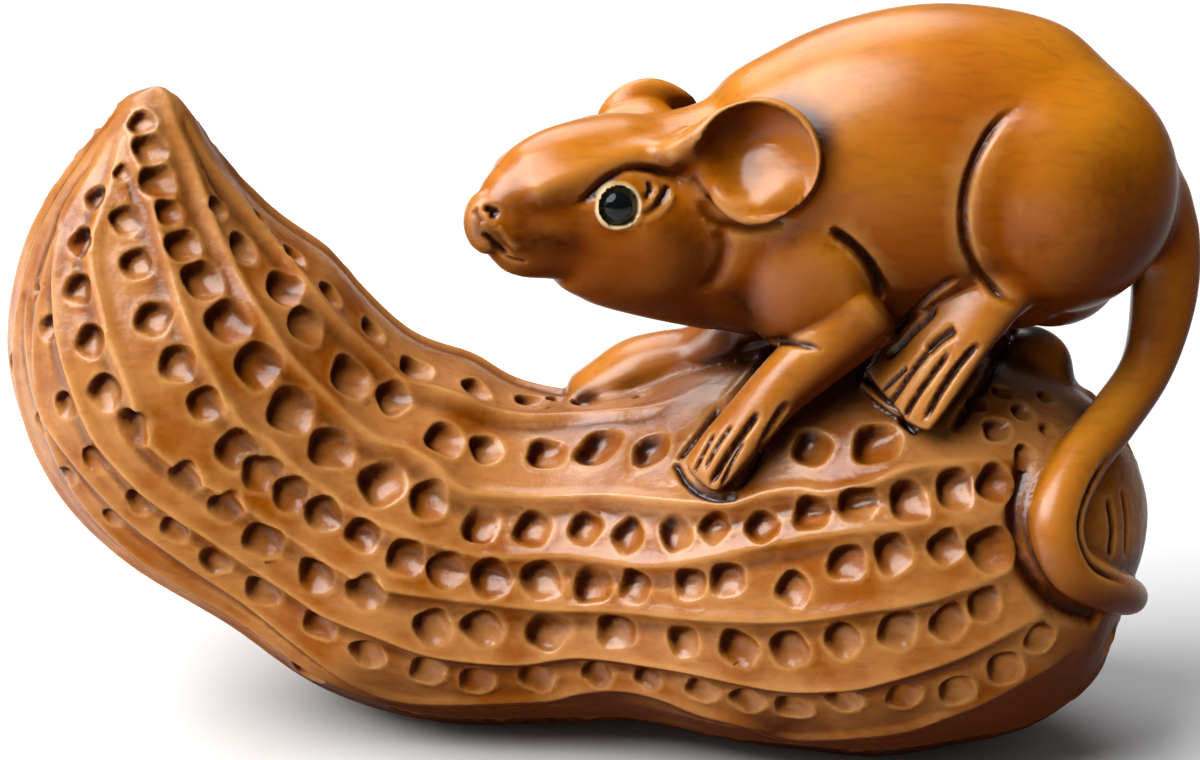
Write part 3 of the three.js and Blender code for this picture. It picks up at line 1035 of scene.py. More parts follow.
@dataclass
class EyeBead:
    """An inlaid black bead: the place on the skin that it looks out of, and the direction.

    Attributes:
        node: The node that the bead stands for.
        stand_out: How far it stands out of the skin, in millimetres.
        clearance: The room between it and its socket.
        lid: Half the thickness of the raised rim of wood round it.
        rim: How far from it that rim is pale.
        rim_blur: Over how much more the paleness fades.
        paleness: How pale it is, from 0 to 1.
    """

    node: str
    skin: Point
    outward: Point
    diameter: float = 2.1
    stand_out: float = 0.5
    clearance: float = 0.04
    lid: float = 0.2
    rim: float = 0.31
    rim_blur: float = 0.08
    paleness: float = 0.85

    @property
    def axis(self) -> Vector:
        """The direction that the eye looks along."""
        return Vector(self.outward).normalized()

    @property
    def middle(self) -> Vector:
        """The middle of the bead's ball."""
        return Vector(self.skin) - self.axis * (self.diameter / 2 - self.stand_out)

    def build_lid(self) -> bpy.types.Object:
        """Models the raised rim of wood.

        Returns:
            A closed ring.
        """
        depth = self.diameter / 2 - self.stand_out
        opening = math.sqrt((self.diameter / 2) ** 2 - depth**2)
        deselect()
        bpy.ops.mesh.primitive_torus_add(
            location=self.skin, rotation=self.axis.to_track_quat("Z", "Y").to_euler(),
            major_segments=48, minor_segments=16, major_radius=opening + self.lid, minor_radius=self.lid)
        lid = bpy.context.active_object
        bpy.ops.object.transform_apply(location=True, rotation=True, scale=True)
        return lid

    def build(self, finish: bpy.types.Material) -> bpy.types.Object:
        """Models and dresses the bead.

        Args:
            finish: The bead's material.

        Returns:
            The finished piece, in the frame.
        """
        deselect()
        bpy.ops.mesh.primitive_uv_sphere_add(
            segments=64, ring_count=40, radius=self.diameter / 2, location=self.middle,
            rotation=self.axis.to_track_quat("Z", "Y").to_euler())
        bead = bpy.context.active_object
        bead.name = f"{self.node}_bead"
        bpy.ops.object.shade_smooth()
        settle(bead, finish, Finish.BEAD, self.node)
        return bead


def settle(piece: bpy.types.Object, finish: bpy.types.Material, slot: Finish, node: str) -> None:
    """Brings a piece from its millimetres into the frame, dresses it, hides its node's part and hangs it on
    the root.

    Args:
        piece: The piece, in millimetres.
        finish: Its material.
        slot: Not used.
        node: The node that it stands for.
    """
    pick(piece)
    bpy.ops.object.transform_apply(location=True, rotation=True, scale=True)
    piece.data.transform(Matrix.Scale(MM, 4) @ Matrix.Translation(TO_FRAME))
    piece.data.materials.clear()
    piece.data.materials.append(finish)
    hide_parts(node)
    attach(piece, "root")
    LOG.info("%s: %d faces", piece.name, len(piece.data.polygons))


EYES = (
    EyeBead("left_eye", (1.0, -10.1, 34.1), (0.21, -0.95, 0.22)),
    EyeBead("right_eye", (-2.7, -3.3, 34.1), (-0.62, 0.75, 0.22)),
)

# The ribs of the husk from the top edge down, as the photograph shows them
RIBS = (
    Rib(((190, 130), (218, 178), (262, 234), (295, 274), (321, 306), (348, 336), (380, 365), (402, 384),
         (434, 393), (460, 401), (492, 415), (530, 421), (567, 420), (610, 417), (648, 412),
         (675, 401))),
    Rib(((163, 89), (174, 127), (188, 162), (204, 210), (220, 248), (241, 288), (263, 323), (284, 355),
         (308, 381), (335, 408), (356, 427), (380, 444), (407, 452), (434, 468), (450, 484), (471, 495),
         (500, 498), (546, 500), (610, 498), (661, 502), (715, 506), (736, 506), (768, 496), (800, 492),
         (829, 495), (872, 486), (901, 474), (930, 467), (973, 462), (1010, 458)), 1.25),
    Rib(((130, 130), (137, 164), (150, 199), (161, 242), (171, 274), (182, 309), (198, 349), (214, 379),
         (241, 422), (268, 440), (295, 467), (321, 486), (348, 507), (396, 530), (444, 546), (500, 557),
         (567, 555), (648, 565), (701, 559), (743, 550), (800, 539), (872, 529), (944, 523),
         (1004, 512)), 1.05),
    Rib(((122, 140), (110, 194), (99, 226), (94, 261), (102, 301), (112, 341), (129, 381), (140, 412),
         (150, 438), (176, 462), (225, 492), (290, 533), (340, 566), (380, 584), (434, 594), (541, 606),
         (621, 608), (701, 616), (786, 618), (858, 609), (930, 598), (981, 581), (1012, 570)), 1.1),
    Rib(((84, 180), (66, 215), (62, 247), (59, 288), (64, 341), (75, 381), (90, 420), (107, 448),
         (150, 492), (213, 535), (280, 580), (330, 612), (380, 632), (434, 651), (514, 659), (584, 652),
         (675, 664), (743, 678), (786, 685), (829, 685), (872, 680), (958, 655), (1039, 615)), 1.2),
    Rib(((28, 300), (30, 350), (45, 410), (80, 462), (130, 515), (190, 560), (250, 600), (300, 640),
         (340, 670), (380, 691), (434, 699), (541, 696), (581, 688), (621, 685), (661, 693), (701, 709),
         (742, 720), (786, 733), (843, 733), (901, 727), (944, 713), (987, 698), (1053, 664))),
)

# The pits that the photograph shows: pixel and radius in millimetres
PITS = (
    (142, 124, 0.8), (150, 150, 0.95), (157, 183, 1.0), (167, 214, 0.8), (182, 247, 0.95), (202, 282, 1.1),
    (228, 322, 1.25), (258, 366, 1.3), (291, 411, 1.35), (331, 449, 1.15), (382, 484, 1.25), (429, 500, 1.05),
    (481, 526, 1.0), (533, 530, 1.02), (586, 529, 0.95), (629, 536, 0.98), (676, 533, 0.95), (715, 528, 0.85),
    (763, 528, 0.95), (812, 514, 1.0), (858, 504, 1.0), (909, 503, 1.05), (955, 490, 1.05), (995, 484, 1.05),
    (122, 174, 0.5), (126, 221, 0.85), (137, 264, 0.9), (154, 319, 0.98), (178, 364, 1.05), (206, 404, 1.0),
    (238, 450, 1.2), (263, 474, 1.1), (292, 494, 1.05), (324, 513, 1.05), (364, 534, 1.0), (406, 557, 1.05),
    (446, 570, 1.05), (491, 578, 1.1), (542, 580, 1.05), (594, 585, 1.05), (636, 586, 0.95), (691, 584, 0.9),
    (728, 580, 0.95), (794, 589, 0.98), (847, 563, 0.98), (893, 554, 1.02), (946, 547, 0.95),
    (992, 550, 1.25),
    (97, 199, 0.7), (84, 243, 0.85), (80, 289, 0.88), (92, 341, 0.95), (106, 392, 1.0), (138, 426, 1.0),
    (188, 474, 0.95), (228, 504, 0.95), (265, 538, 1.1), (317, 575, 1.05), (367, 590, 1.1), (433, 627, 1.05),
    (483, 628, 1.05), (548, 632, 1.1), (617, 631, 1.05), (684, 641, 0.95), (739, 648, 1.05), (790, 649, 1.1),
    (843, 640, 1.0), (898, 630, 1.05), (949, 622, 1.0), (984, 604, 0.9),
    (66, 405, 0.75), (96, 459, 0.8), (141, 501, 0.85), (176, 528, 0.85), (216, 560, 0.9), (264, 590, 1.0),
    (320, 624, 1.0), (368, 654, 0.95), (428, 670, 0.98), (477, 680, 0.95), (537, 677, 0.95), (598, 672, 0.85),
    (648, 675, 0.8), (702, 690, 0.85), (748, 700, 0.9), (794, 707, 0.95), (845, 700, 0.9), (904, 696, 0.95),
    (957, 690, 1.0), (1005, 668, 1.0), (1040, 638, 0.9), (40, 290, 0.6), (51, 328, 0.75), (43, 424, 0.7),
    (70, 474, 0.6), (113, 517, 0.6),
    (214, 210, 0.7), (241, 250, 0.95), (284, 289, 1.1), (305, 326, 1.15), (350, 378, 1.25), (393, 399, 1.0),
    (445, 440, 1.1), (486, 450, 0.95), (547, 454, 1.1), (599, 447, 1.25), (651, 450, 1.1),
    (257, 221, 0.6), (292, 258, 0.8), (329, 296, 0.85), (372, 331, 0.85), (415, 370, 1.0), (476, 390, 0.9),
    (531, 401, 0.85), (557, 399, 0.6), (586, 402, 0.8), (615, 396, 0.8), (643, 394, 0.6),
    (812, 448, 1.1), (877, 444, 1.25), (997, 430, 0.75), (1026, 456, 0.7), (978, 404, 0.55),
    (1002, 392, 0.6), (1022, 412, 0.65), (1046, 398, 0.55), (1048, 430, 0.5),
)

# Where the form is smoothed so that one mass runs into the next: centre, radius and rounds
MELTS = (
    ((6.5, -4.0, 38.0), 5.0, 160), ((4.9, -8.4, 33.4), 2.0, 50), ((3.6, -7.6, 36.6), 2.0, 60),
    ((22.0, -6.5, 39.0), 6.0, 200), ((28.0, -4.5, 37.0), 6.0, 200), ((29.5, -5.0, 31.0), 4.5, 160),
    ((25.5, -7.0, 38.0), 5.0, 160), ((27.5, -5.5, 28.5), 3.5, 120), ((30.0, -2.5, 28.8), 2.6, 60),
    ((27.5, -3.0, 39.0), 5.5, 260), ((2.4, -1.6, 36.2), 2.2, 60), ((30.5, -3.5, 33.0), 3.5, 120),
    ((30.3, -4.0, 23.5), 4.0, 30), ((26.5, -9.0, 19.3), 4.0, 30), ((24.8, -12.4, 15.5), 3.6, 30),
    ((30.0, -1.5, 33.5), 4.5, 160), ((22.0, 1.5, 39.0), 5.0, 120), ((28.5, 1.0, 36.0), 5.0, 120),
    ((10.5, -8.0, 34.0), 3.6, 110), ((15.0, -8.5, 30.5), 2.6, 50), ((9.0, 0.5, 33.0), 4.0, 90),
    ((13.2, -8.6, 26.8), 2.6, 60), ((22.5, -8.0, 28.6), 2.6, 60), ((-5.0, -9.0, 33.3), 2.4, 30),
    ((3.5, 0.5, 33.0), 3.0, 60), ((7.5, -7.5, 28.5), 3.6, 90), ((3.0, -8.0, 28.0), 3.0, 60),
    ((1.0, 1.4, 18.8), 3.4, 80), ((4.5, 0.6, 19.6), 3.0, 80), ((25.2, -0.8, 21.0), 2.6, 160),
    ((21.3, -8.1, 35.6), 2.8, 160), ((21.3, -8.0, 33.0), 2.8, 160), ((21.4, -7.8, 30.6), 2.6, 160),
)

# The same after the ears are dished, where the near ear's lower lobe and its front fold run into the cheek
EAR_MELTS = (
    ((5.3, -9.3, 36.4), 1.5, 90), ((5.8, -9.6, 34.9), 1.9, 220), ((6.9, -10.0, 34.0), 1.4, 90),
    ((9.0, -9.6, 36.6), 2.4, 12), ((2.8, -7.8, 36.9), 1.8, 200), ((4.6, -8.8, 36.6), 1.2, 60),
)

# The head's carving
HEAD_CUTS = (
    Cut(((657, 240), (662, 262), (660, 280)), 2.2, 0.3, mirror=Plane.HEAD),
    Cut(((672, 150), (640, 153), (605, 164), (570, 178), (540, 190)), 1.0, 0.34, mirror=Plane.HEAD),
    Cut(((525, 218), (548, 214), (575, 216)), 1.1, -0.22, 0.15, mirror=Plane.HEAD),
    Cut(((566, 212), (587, 198), (603, 182), (616, 173), (628, 168), (645, 168), (661, 172), (680, 178)),
        0.3, -0.34, 0.75, mirror=Plane.HEAD),
    Cut(((669, 183), (664, 196), (654, 208), (641, 216)), 0.17, -0.26, 0.8, mirror=Plane.HEAD),
    Cut(((648, 181), (650, 190), (645, 200)), 0.16, -0.22, 0.8, mirror=Plane.HEAD),
    Cut(((657, 183), (656, 194), (649, 203), (640, 209)), 0.16, 0.14, mirror=Plane.HEAD),
    Cut(((674, 191), (668, 205), (655, 216), (640, 222)), 0.2, 0.16, mirror=Plane.HEAD),
    Cut(((483, 207), (490, 209), (495, 212), (490, 219)), 0.24, -0.42, 1.0, mirror=Plane.HEAD),
    Cut(((474, 208), (477, 216), (483, 224)), 0.3, -0.14, 0.35),
    Cut(((481, 233), (490, 240), (500, 250), (506, 256)), 0.22, -0.3, 0.9, mirror=Plane.HEAD),
    Cut(((504, 256), (515, 260), (526, 262)), 0.14, -0.12, 0.5, mirror=Plane.HEAD),
    Cut(((702, 196), (728, 205), (758, 204), (780, 192)), 1.2, 0.34, mirror=Plane.HEAD),
    Cut(((497, 224), (506, 238), (520, 250)), 0.28, 0.14),
    # Wide strokes that cut little or nothing: their stain is painted shade round the mouth, on the cheek and
    # the snout's side, on the throat and down the neck
    Cut(((480, 228), (492, 236), (503, 246)), 0.7, 0.0, 0.45, mirror=Plane.HEAD),
    Cut(((525, 238), (548, 244), (570, 244)), 1.5, -0.1, 0.55, mirror=Plane.HEAD),
    Cut(((508, 206), (535, 210), (562, 206)), 1.3, 0.0, 0.35, mirror=Plane.HEAD),
    Cut(((676, 232), (694, 250), (700, 275)), 1.6, 0.0, 0.45, mirror=Plane.HEAD),
    Cut(((735, 296), (750, 315), (762, 338)), 1.6, 0.0, 0.6, mirror=Plane.BODY),
    Cut(((716, 226), (724, 245), (719, 270), (702, 292)), 0.5, -0.24, 0.22, mirror=Plane.HEAD),
    Cut(((670, 139), (680, 132), (692, 124)), 0.16, -0.14, 0.5),
    Cut(((690, 178), (696, 184), (700, 194)), 0.35, -0.14, 0.3),
    Cut(((698, 192), (702, 206), (714, 220), (742, 228), (770, 224), (798, 209), (818, 186)),
        0.4, -0.28, 0.3),
)

# The body's and the legs' carving
BODY_CUTS = (
    Cut(((1024, 103), (1000, 120), (980, 150), (967, 185), (963, 215), (966, 245), (976, 268), (988, 284),
         (1003, 298), (1022, 308)), 0.32, -0.42, 0.3, mirror=Plane.BODY),
    # A wide stroke that cuts nothing: painted shade on the rump by the tail
    Cut(((1118, 190), (1128, 235), (1118, 285)), 3.4, 0.0, 0.4, mirror=Plane.BODY),
    Cut(((1040, 122), (1014, 146), (996, 182), (988, 215), (992, 250)), 1.9, 0.24, mirror=Plane.BODY),
    Cut(((828, 228), (845, 240), (864, 258), (878, 280), (884, 300)), 0.36, -0.5, 0.85, mirror=Plane.BODY),
    Cut(((818, 250), (836, 270), (850, 300)), 1.6, 0.25, mirror=Plane.BODY),
    Cut(((735, 352), (760, 343), (790, 342), (824, 350)), 0.26, -0.26, 0.5),
    Cut(((768, 354), (745, 378), (722, 405)), 0.55, 0.22),
    # Wide and shallow: its stain is mostly painted shade
    Cut(((700, 318), (722, 332), (742, 348)), 1.2, -0.2, 0.5),
)

# The cuts between the toes, and round the feet
FOOT_CUTS = (
    Cut(((938, 308), (918, 326), (898, 346), (886, 358)), 0.24, -0.4, 0.75),
    Cut(((956, 328), (938, 340), (926, 352)), 0.34, -0.4, 0.8),
    Cut(((934, 344), (914, 368), (896, 394), (886, 406)), 0.2, -0.36, 0.85),
    Cut(((908, 366), (893, 380), (880, 392)), 0.16, -0.26, 0.7),
    Cut(((950, 350), (930, 376), (912, 402), (903, 420)), 0.2, -0.38, 0.9),
    Cut(((981, 342), (960, 364), (940, 392), (922, 424)), 0.24, -0.42, 0.9),
    Cut(((862, 374), (876, 392), (894, 412), (914, 430)), 0.26, -0.4, 0.95, taper=False),
    Cut(((958, 276), (930, 296), (890, 336), (862, 372)), 0.26, -0.3, 0.5),
    Cut(((1018, 316), (1002, 350), (976, 396), (950, 432)), 0.32, -0.36, 0.6),
    Cut(((714, 432), (703, 452), (692, 474)), 0.18, -0.34, 0.8),
    Cut(((732, 424), (718, 444), (704, 470)), 0.15, -0.26, 0.7),
    Cut(((760, 410), (742, 434), (724, 460), (708, 488)), 0.26, -0.48, 1.0),
    Cut(((744, 440), (732, 462), (722, 488)), 0.16, -0.3, 0.8),
    Cut(((676, 466), (684, 480), (698, 492), (716, 498), (733, 497)), 0.26, -0.36, 0.8, taper=False),
    Cut(((790, 400), (772, 428), (756, 458), (734, 494)), 0.3, -0.36, 0.6),
    Cut(((722, 405), (700, 432), (676, 462)), 0.28, -0.3, 0.5),
)

# Where the husk is worked away round the tail
TAIL_CUTS = (
    Cut(((1024, 470), (1016, 505), (1018, 545), (1032, 580), (1058, 606), (1095, 618)), 0.6, -0.5, 0.5),
    Cut(((1034, 470), (1024, 505), (1026, 540), (1038, 572), (1060, 598), (1100, 612)), 0.2, -0.3, 0.85),
    Cut(((1112, 452), (1090, 490), (1080, 530), (1094, 566), (1128, 584)), 0.24, -0.3, 0.7),
    Cut(((1108, 496), (1113, 528), (1110, 560)), 0.3, -0.28, 0.5),
    Cut(((1122, 486), (1127, 520), (1126, 560)), 0.3, -0.22, 0.4),
)


@dataclass
class Carving:
    """The one solid of wood: the husk with the rat on it.

    Attributes:
        husk: The peanut pod.
        rat: The rat.
        ridge: The section of the pod's ribs.
        scoop: The shape of its pits.
        wear: How stain and rubbing lie on the whole.
        body_plane: A point of the body's middle plane, and its normal.
        head_plane: The same of the head, which is turned.
        rest_flat: The height that the flats under it are cut at, in millimetres.
    """

    husk: Husk = field(default_factory=Husk)
    rat: Rat = field(default_factory=Rat)
    ridge: Ridge = Ridge()
    scoop: Scoop = Scoop()
    wear: Wear = Wear()
    body_plane: tuple[Point, Point] = ((0.0, -2.6, 0.0), (0.0, 1.0, 0.0))
    head_plane: tuple[Point, Point] = ((-2.1, -7.4, 33.3), (-0.464, 0.886, 0.0))
    rest_flat: float = 0.45

    def mirrors(self) -> dict[Plane, Matrix]:
        """The mirror images across the middle planes.

        Returns:
            A matrix for each plane.
        """
        planes = {Plane.BODY: self.body_plane, Plane.HEAD: self.head_plane}
        images = {}
        for plane, (point, normal) in planes.items():
            there, back = Matrix.Translation(point), Matrix.Translation(-Vector(point))
            images[plane] = there @ Matrix.Scale(-1, 4, Vector(normal)) @ back
        return images

    def shape_husk(self, clay: Clay) -> None:
        """Raises the ribs and scoops the pits.

        Args:
            clay: The husk, still without the rat.
        """
        husk, ridge = self.husk, self.ridge
        seen = [clay.trace(rib.path) for rib in RIBS]
        hidden = [np.array(path) for path in husk.hidden_rib_paths()]
        heights = [rib.share * ridge.height for rib in RIBS] + [ridge.height * ridge.hidden] * len(hidden)
        places = [(clay.cast((u, v)), radius) for u, v, radius in PITS]
        for centre in husk.hidden_pits():
            skin, normal, _, gap = clay.tree.find_nearest(centre)
            to_camera = (CAMERA.place - skin).normalized()
            blocked = clay.tree.ray_cast(skin + normal * husk.sight_lift, to_camera)[0]
            if gap < husk.skin_gap and (normal.dot(to_camera) < husk.grazing or blocked):
                places.append((skin, husk.hidden_pit))
        clay.raise_ribs(seen + hidden, heights, ridge)
        clay.store()
        for centre, radius in places:
            if centre is not None:
                clay.pit(clay.tree.find_nearest(centre)[0], radius, self.scoop)
        clay.store()

    def build(self, finish: bpy.types.Material) -> bpy.types.Object:
        """Models and dresses the carving.

        Args:
            finish: The wood's material.

        Returns:
            The finished piece, in the frame.
        """
        husk_clay = Clay([self.husk.build()])
        self.shape_husk(husk_clay)
        LOG.info("husk: %d points", len(husk_clay.points))
        keep_mask(husk_clay.mesh, Mask.STAIN_AND_PAINTED_SHADE, husk_clay.stain_and_painted_shade)
        keep_mask(husk_clay.mesh, Mask.PIT, husk_clay.pits)
        keep_mask(husk_clay.mesh, Mask.HUSK, np.ones(len(husk_clay.points)))
        clay = Clay([husk_clay.piece, *self.rat.build(), *(eye.build_lid() for eye in EYES)])
        LOG.info("clay: %d points", len(clay.points))
        for centre, radius, rounds in MELTS:
            clay.relax_spot(centre, radius, rounds)
        clay.store()
        for ear in self.rat.ears:
            clay.dish(ear)
        for centre, radius, rounds in EAR_MELTS:
            clay.relax_spot(centre, radius, rounds)
        clay.store()
        mirrors = self.mirrors()
        for group in (HEAD_CUTS, BODY_CUTS, FOOT_CUTS, TAIL_CUTS):
            for cut in group:
                clay.cut(cut, mirrors)
            clay.store()
        for eye in EYES:
            clay.socket(eye.middle, eye.axis, eye.diameter / 2 + eye.clearance)
        clay.points[:, 2] = np.maximum(clay.points[:, 2], self.rest_flat)
        clay.store()
        clay.piece.name = "rat_on_peanut"
        self.stain_shade_and_thin(clay)
        settle(clay.piece, finish, Finish.BOXWOOD, "carving")
        return clay.piece

    def stain_shade_and_thin(self, clay: Clay) -> None:
        """Stores where the stain and the painted shade lie and where the edges are rubbed, and thins the mesh
        out.

        Args:
            clay: The finished form.
        """
        wear = self.wear
        smooth = clay.points.copy()
        shallow = np.zeros(len(smooth))
        for i in range(wear.far):
            smooth += (clay.mean(smooth) - smooth) * wear.step
            if i + 1 == wear.near:
                shallow = ((smooth - clay.points) * clay.normals).sum(axis=1)
        deep = ((smooth - clay.points) * clay.normals).sum(axis=1)
        narrow_depth, narrow_stain = wear.narrow
        wide_depth, wide_stain = wear.wide
        # Painted shade with the stain: narrow and wide hollows darken by their depth, and the pits are spared
        # the wide part
        narrow = np.clip(shallow / narrow_depth, 0, 1) * narrow_stain
        wide = np.clip(deep / wide_depth, 0, 1) * wide_stain * (1 - clay.pits)
        keep_mask(clay.mesh, Mask.STAIN_AND_PAINTED_SHADE, np.clip(clay.stain_and_painted_shade + (narrow + wide), 0, 1))
        keep_mask(clay.mesh, Mask.RUBBED, np.clip(-shallow / wear.edge, 0, 1))
        keep_mask(clay.mesh, Mask.HUSK, clay.husk)
        keep_mask(clay.mesh, Mask.PIT, clay.pits)
        quads = len(clay.mesh.polygons)
        pick(clay.piece)
        bpy.ops.object.mode_set(mode="EDIT")
        bpy.ops.mesh.select_all(action="SELECT")
        bpy.ops.mesh.decimate(ratio=TRIANGLES_KEPT / (2 * quads))
        bpy.ops.mesh.quads_convert_to_tris()
        bpy.ops.object.mode_set(mode="OBJECT")
        bpy.ops.object.shade_smooth()
        self.darken_hollows(clay.piece)

    def darken_hollows(self, piece: bpy.types.Object) -> None:
        """Stores how hidden from the open air each vertex is and where it faces, for the patina and painted
        shade.

        Args:
            piece: The thinned carving, in millimetres.
        """
        wear, mesh = self.wear, piece.data
        points = read_rows(mesh.vertices, "co", 3)
        normals = read_rows(mesh.vertex_normals, "vector", 3)
        ends = read_rows(mesh.edges, "vertices", 2, int).T
        tree = BVHTree.FromObject(piece, bpy.context.evaluated_depsgraph_get())
        dice = np.random.default_rng(SEED)
        hidden = np.zeros(len(points))
        starts = (points + normals * wear.lift).tolist()
        for _ in range(wear.rays):
            ways = unit(normals + unit(dice.normal(size=3)) * wear.spread)
            falls = np.maximum(-ways[:, 2], wear.level)
            to_floor = np.where(ways[:, 2] < -wear.level, points[:, 2] / falls, np.inf)
            hits = [tree.ray_cast(start, way, wear.reach)[3] for start, way in zip(starts, ways.tolist())]
            gap = np.minimum(np.array([wear.reach if hit is None else hit for hit in hits]), to_floor)
            hidden += 1 - np.clip(gap / wear.reach, 0, 1)
        hidden /= wear.rays
        degree = np.maximum(np.bincount(ends.ravel(), minlength=len(points)), 1)
        for _ in range(wear.blurs):
            hidden = (hidden + neighbour_total(ends, hidden[:, None])[:, 0] / degree) / 2
        towards = normals @ TOWARDS_LIGHT
        # Painted shade: darker where the skin faces away from the light and where it faces down, on top of
        # the patina of hidden places
        facing_away = np.clip(-towards, 0, 1) * wear.away + np.clip(-normals[:, 2], 0, 1) * wear.under
        spared = 1 - wear.pit_relief * read_mask(mesh, Mask.PIT)
        keep_mask(mesh, Mask.PATINA_AND_PAINTED_SHADE, np.clip(hidden * wear.gain * spared + facing_away, 0, 1))
        keep_mask(mesh, Mask.UPWARD, normals[:, 2])
        keep_mask(mesh, Mask.TOWARDS, towards)


@dataclass(frozen=True)
class Span:
    """A stretch of a value from low to high, and the two values that its ends are brought to."""

    low: float
    high: float
    to: tuple[float, float] = (0.0, 1.0)


@dataclass(frozen=True)
class Pattern:
    """A soft noise in a material.

    Attributes:
        scale: Its features for each millimetre.
        detail: How fine it gets.
        span: The stretch of the noise that is used.
        stretch: Its scale along each axis, where less draws it out.
    """

    scale: float
    detail: float
    span: Span = Span(0.0, 1.0)
    stretch: Point = (1.0, 1.0, 1.0)


class Shader:
    """A material's node tree, written one node at a time."""

    def __init__(self, name: str) -> None:
        """Starts an empty material.

        Args:
            name: Name of the material.
        """
        self.material = bpy.data.materials.new(name)
        self.material.use_nodes = True
        self.nodes = self.material.node_tree.nodes
        self.links = self.material.node_tree.links
        self.nodes.clear()
        self.surface = self.add("ShaderNodeBsdfPrincipled")
        output = self.add("ShaderNodeOutputMaterial")
        self.links.new(self.surface.outputs["BSDF"], output.inputs["Surface"])

    def add(
        self, kind: str, inputs: dict[str | int, object] | None = None, **settings: object,
    ) -> bpy.types.Node:
        """Adds a node.

        Args:
            kind: Blender's name for the node.
            inputs: Values or sockets for its inputs.
            settings: The node's own settings.

        Returns:
            The node.
        """
        node = self.nodes.new(kind)
        for name, value in settings.items():
            setattr(node, name, value)
        for name, value in (inputs or {}).items():
            if isinstance(value, bpy.types.NodeSocket):
                self.links.new(value, node.inputs[name])
            else:
                node.inputs[name].default_value = value
        return node

    def noise(self, pattern: Pattern) -> bpy.types.NodeSocket:
        """A noise on the object's own coordinates, before its span is taken.

        Args:
            pattern: The noise's scale, detail and stretch.

        Returns:
            The noise's value.
        """
        place = self.add("ShaderNodeTexCoord").outputs["Object"]
        scale = tuple(share / MM for share in pattern.stretch)
        turned = self.add("ShaderNodeMapping", {"Vector": place, "Scale": scale})
        inputs = {"Vector": turned.outputs[0], "Scale": pattern.scale, "Detail": pattern.detail}
        return self.add("ShaderNodeTexNoise", inputs).outputs["Fac"]

    def pattern(self, pattern: Pattern) -> bpy.types.NodeSocket:
        """A noise on the object's own coordinates, brought to its span's values."""
        return self.span(self.noise(pattern), pattern.span)

    def span(self, value: bpy.types.NodeSocket, span: Span) -> bpy.types.NodeSocket:
        """A value's place in a span, brought to the span's own values."""
        limits = {"From Min": span.low, "From Max": span.high, "To Min": span.to[0], "To Max": span.to[1]}
        return self.add("ShaderNodeMapRange", {"Value": value, **limits}).outputs[0]

    def mix(self, share: bpy.types.NodeSocket, first: object, second: object) -> bpy.types.NodeSocket:
        """Two colours mixed by a share."""
        node = self.add("ShaderNodeMix", {0: share, 6: first, 7: second}, data_type="RGBA", blend_type="MIX")
        return node.outputs[2]

    def math(self, kind: str, first: object, second: object) -> bpy.types.NodeSocket:
        """Two values worked into one."""
        return self.add("ShaderNodeMath", {0: first, 1: second}, operation=kind, use_clamp=True).outputs[0]

    def mask(self, mask: Mask) -> bpy.types.NodeSocket:
        """One of the carving's own masks."""
        return self.add("ShaderNodeAttribute", attribute_name=mask.value).outputs["Fac"]

    def dress(self, **values: object) -> None:
        """Sets the surface's sockets.

        Args:
            values: Values or sockets, by the socket's name with underscores for spaces.
        """
        for name, value in values.items():
            socket = self.surface.inputs[name.replace("_", " ").title().replace("Ior", "IOR")]
            if isinstance(value, bpy.types.NodeSocket):
                self.links.new(value, socket)
            else:
                socket.default_value = value


def srgb(colour: Colour) -> tuple[float, float, float, float]:
    """A colour in Blender's linear values.

    Args:
        colour: Its red, green and blue on a screen, from 0 to 255.

    Returns:
        The same with an opacity of 1.
    """
    shares = [value / 255 for value in colour]
    linear = [s / 12.92 if s <= 0.04045 else ((s + 0.055) / 1.055) ** 2.4 for s in shares]
    return (*linear, 1.0)


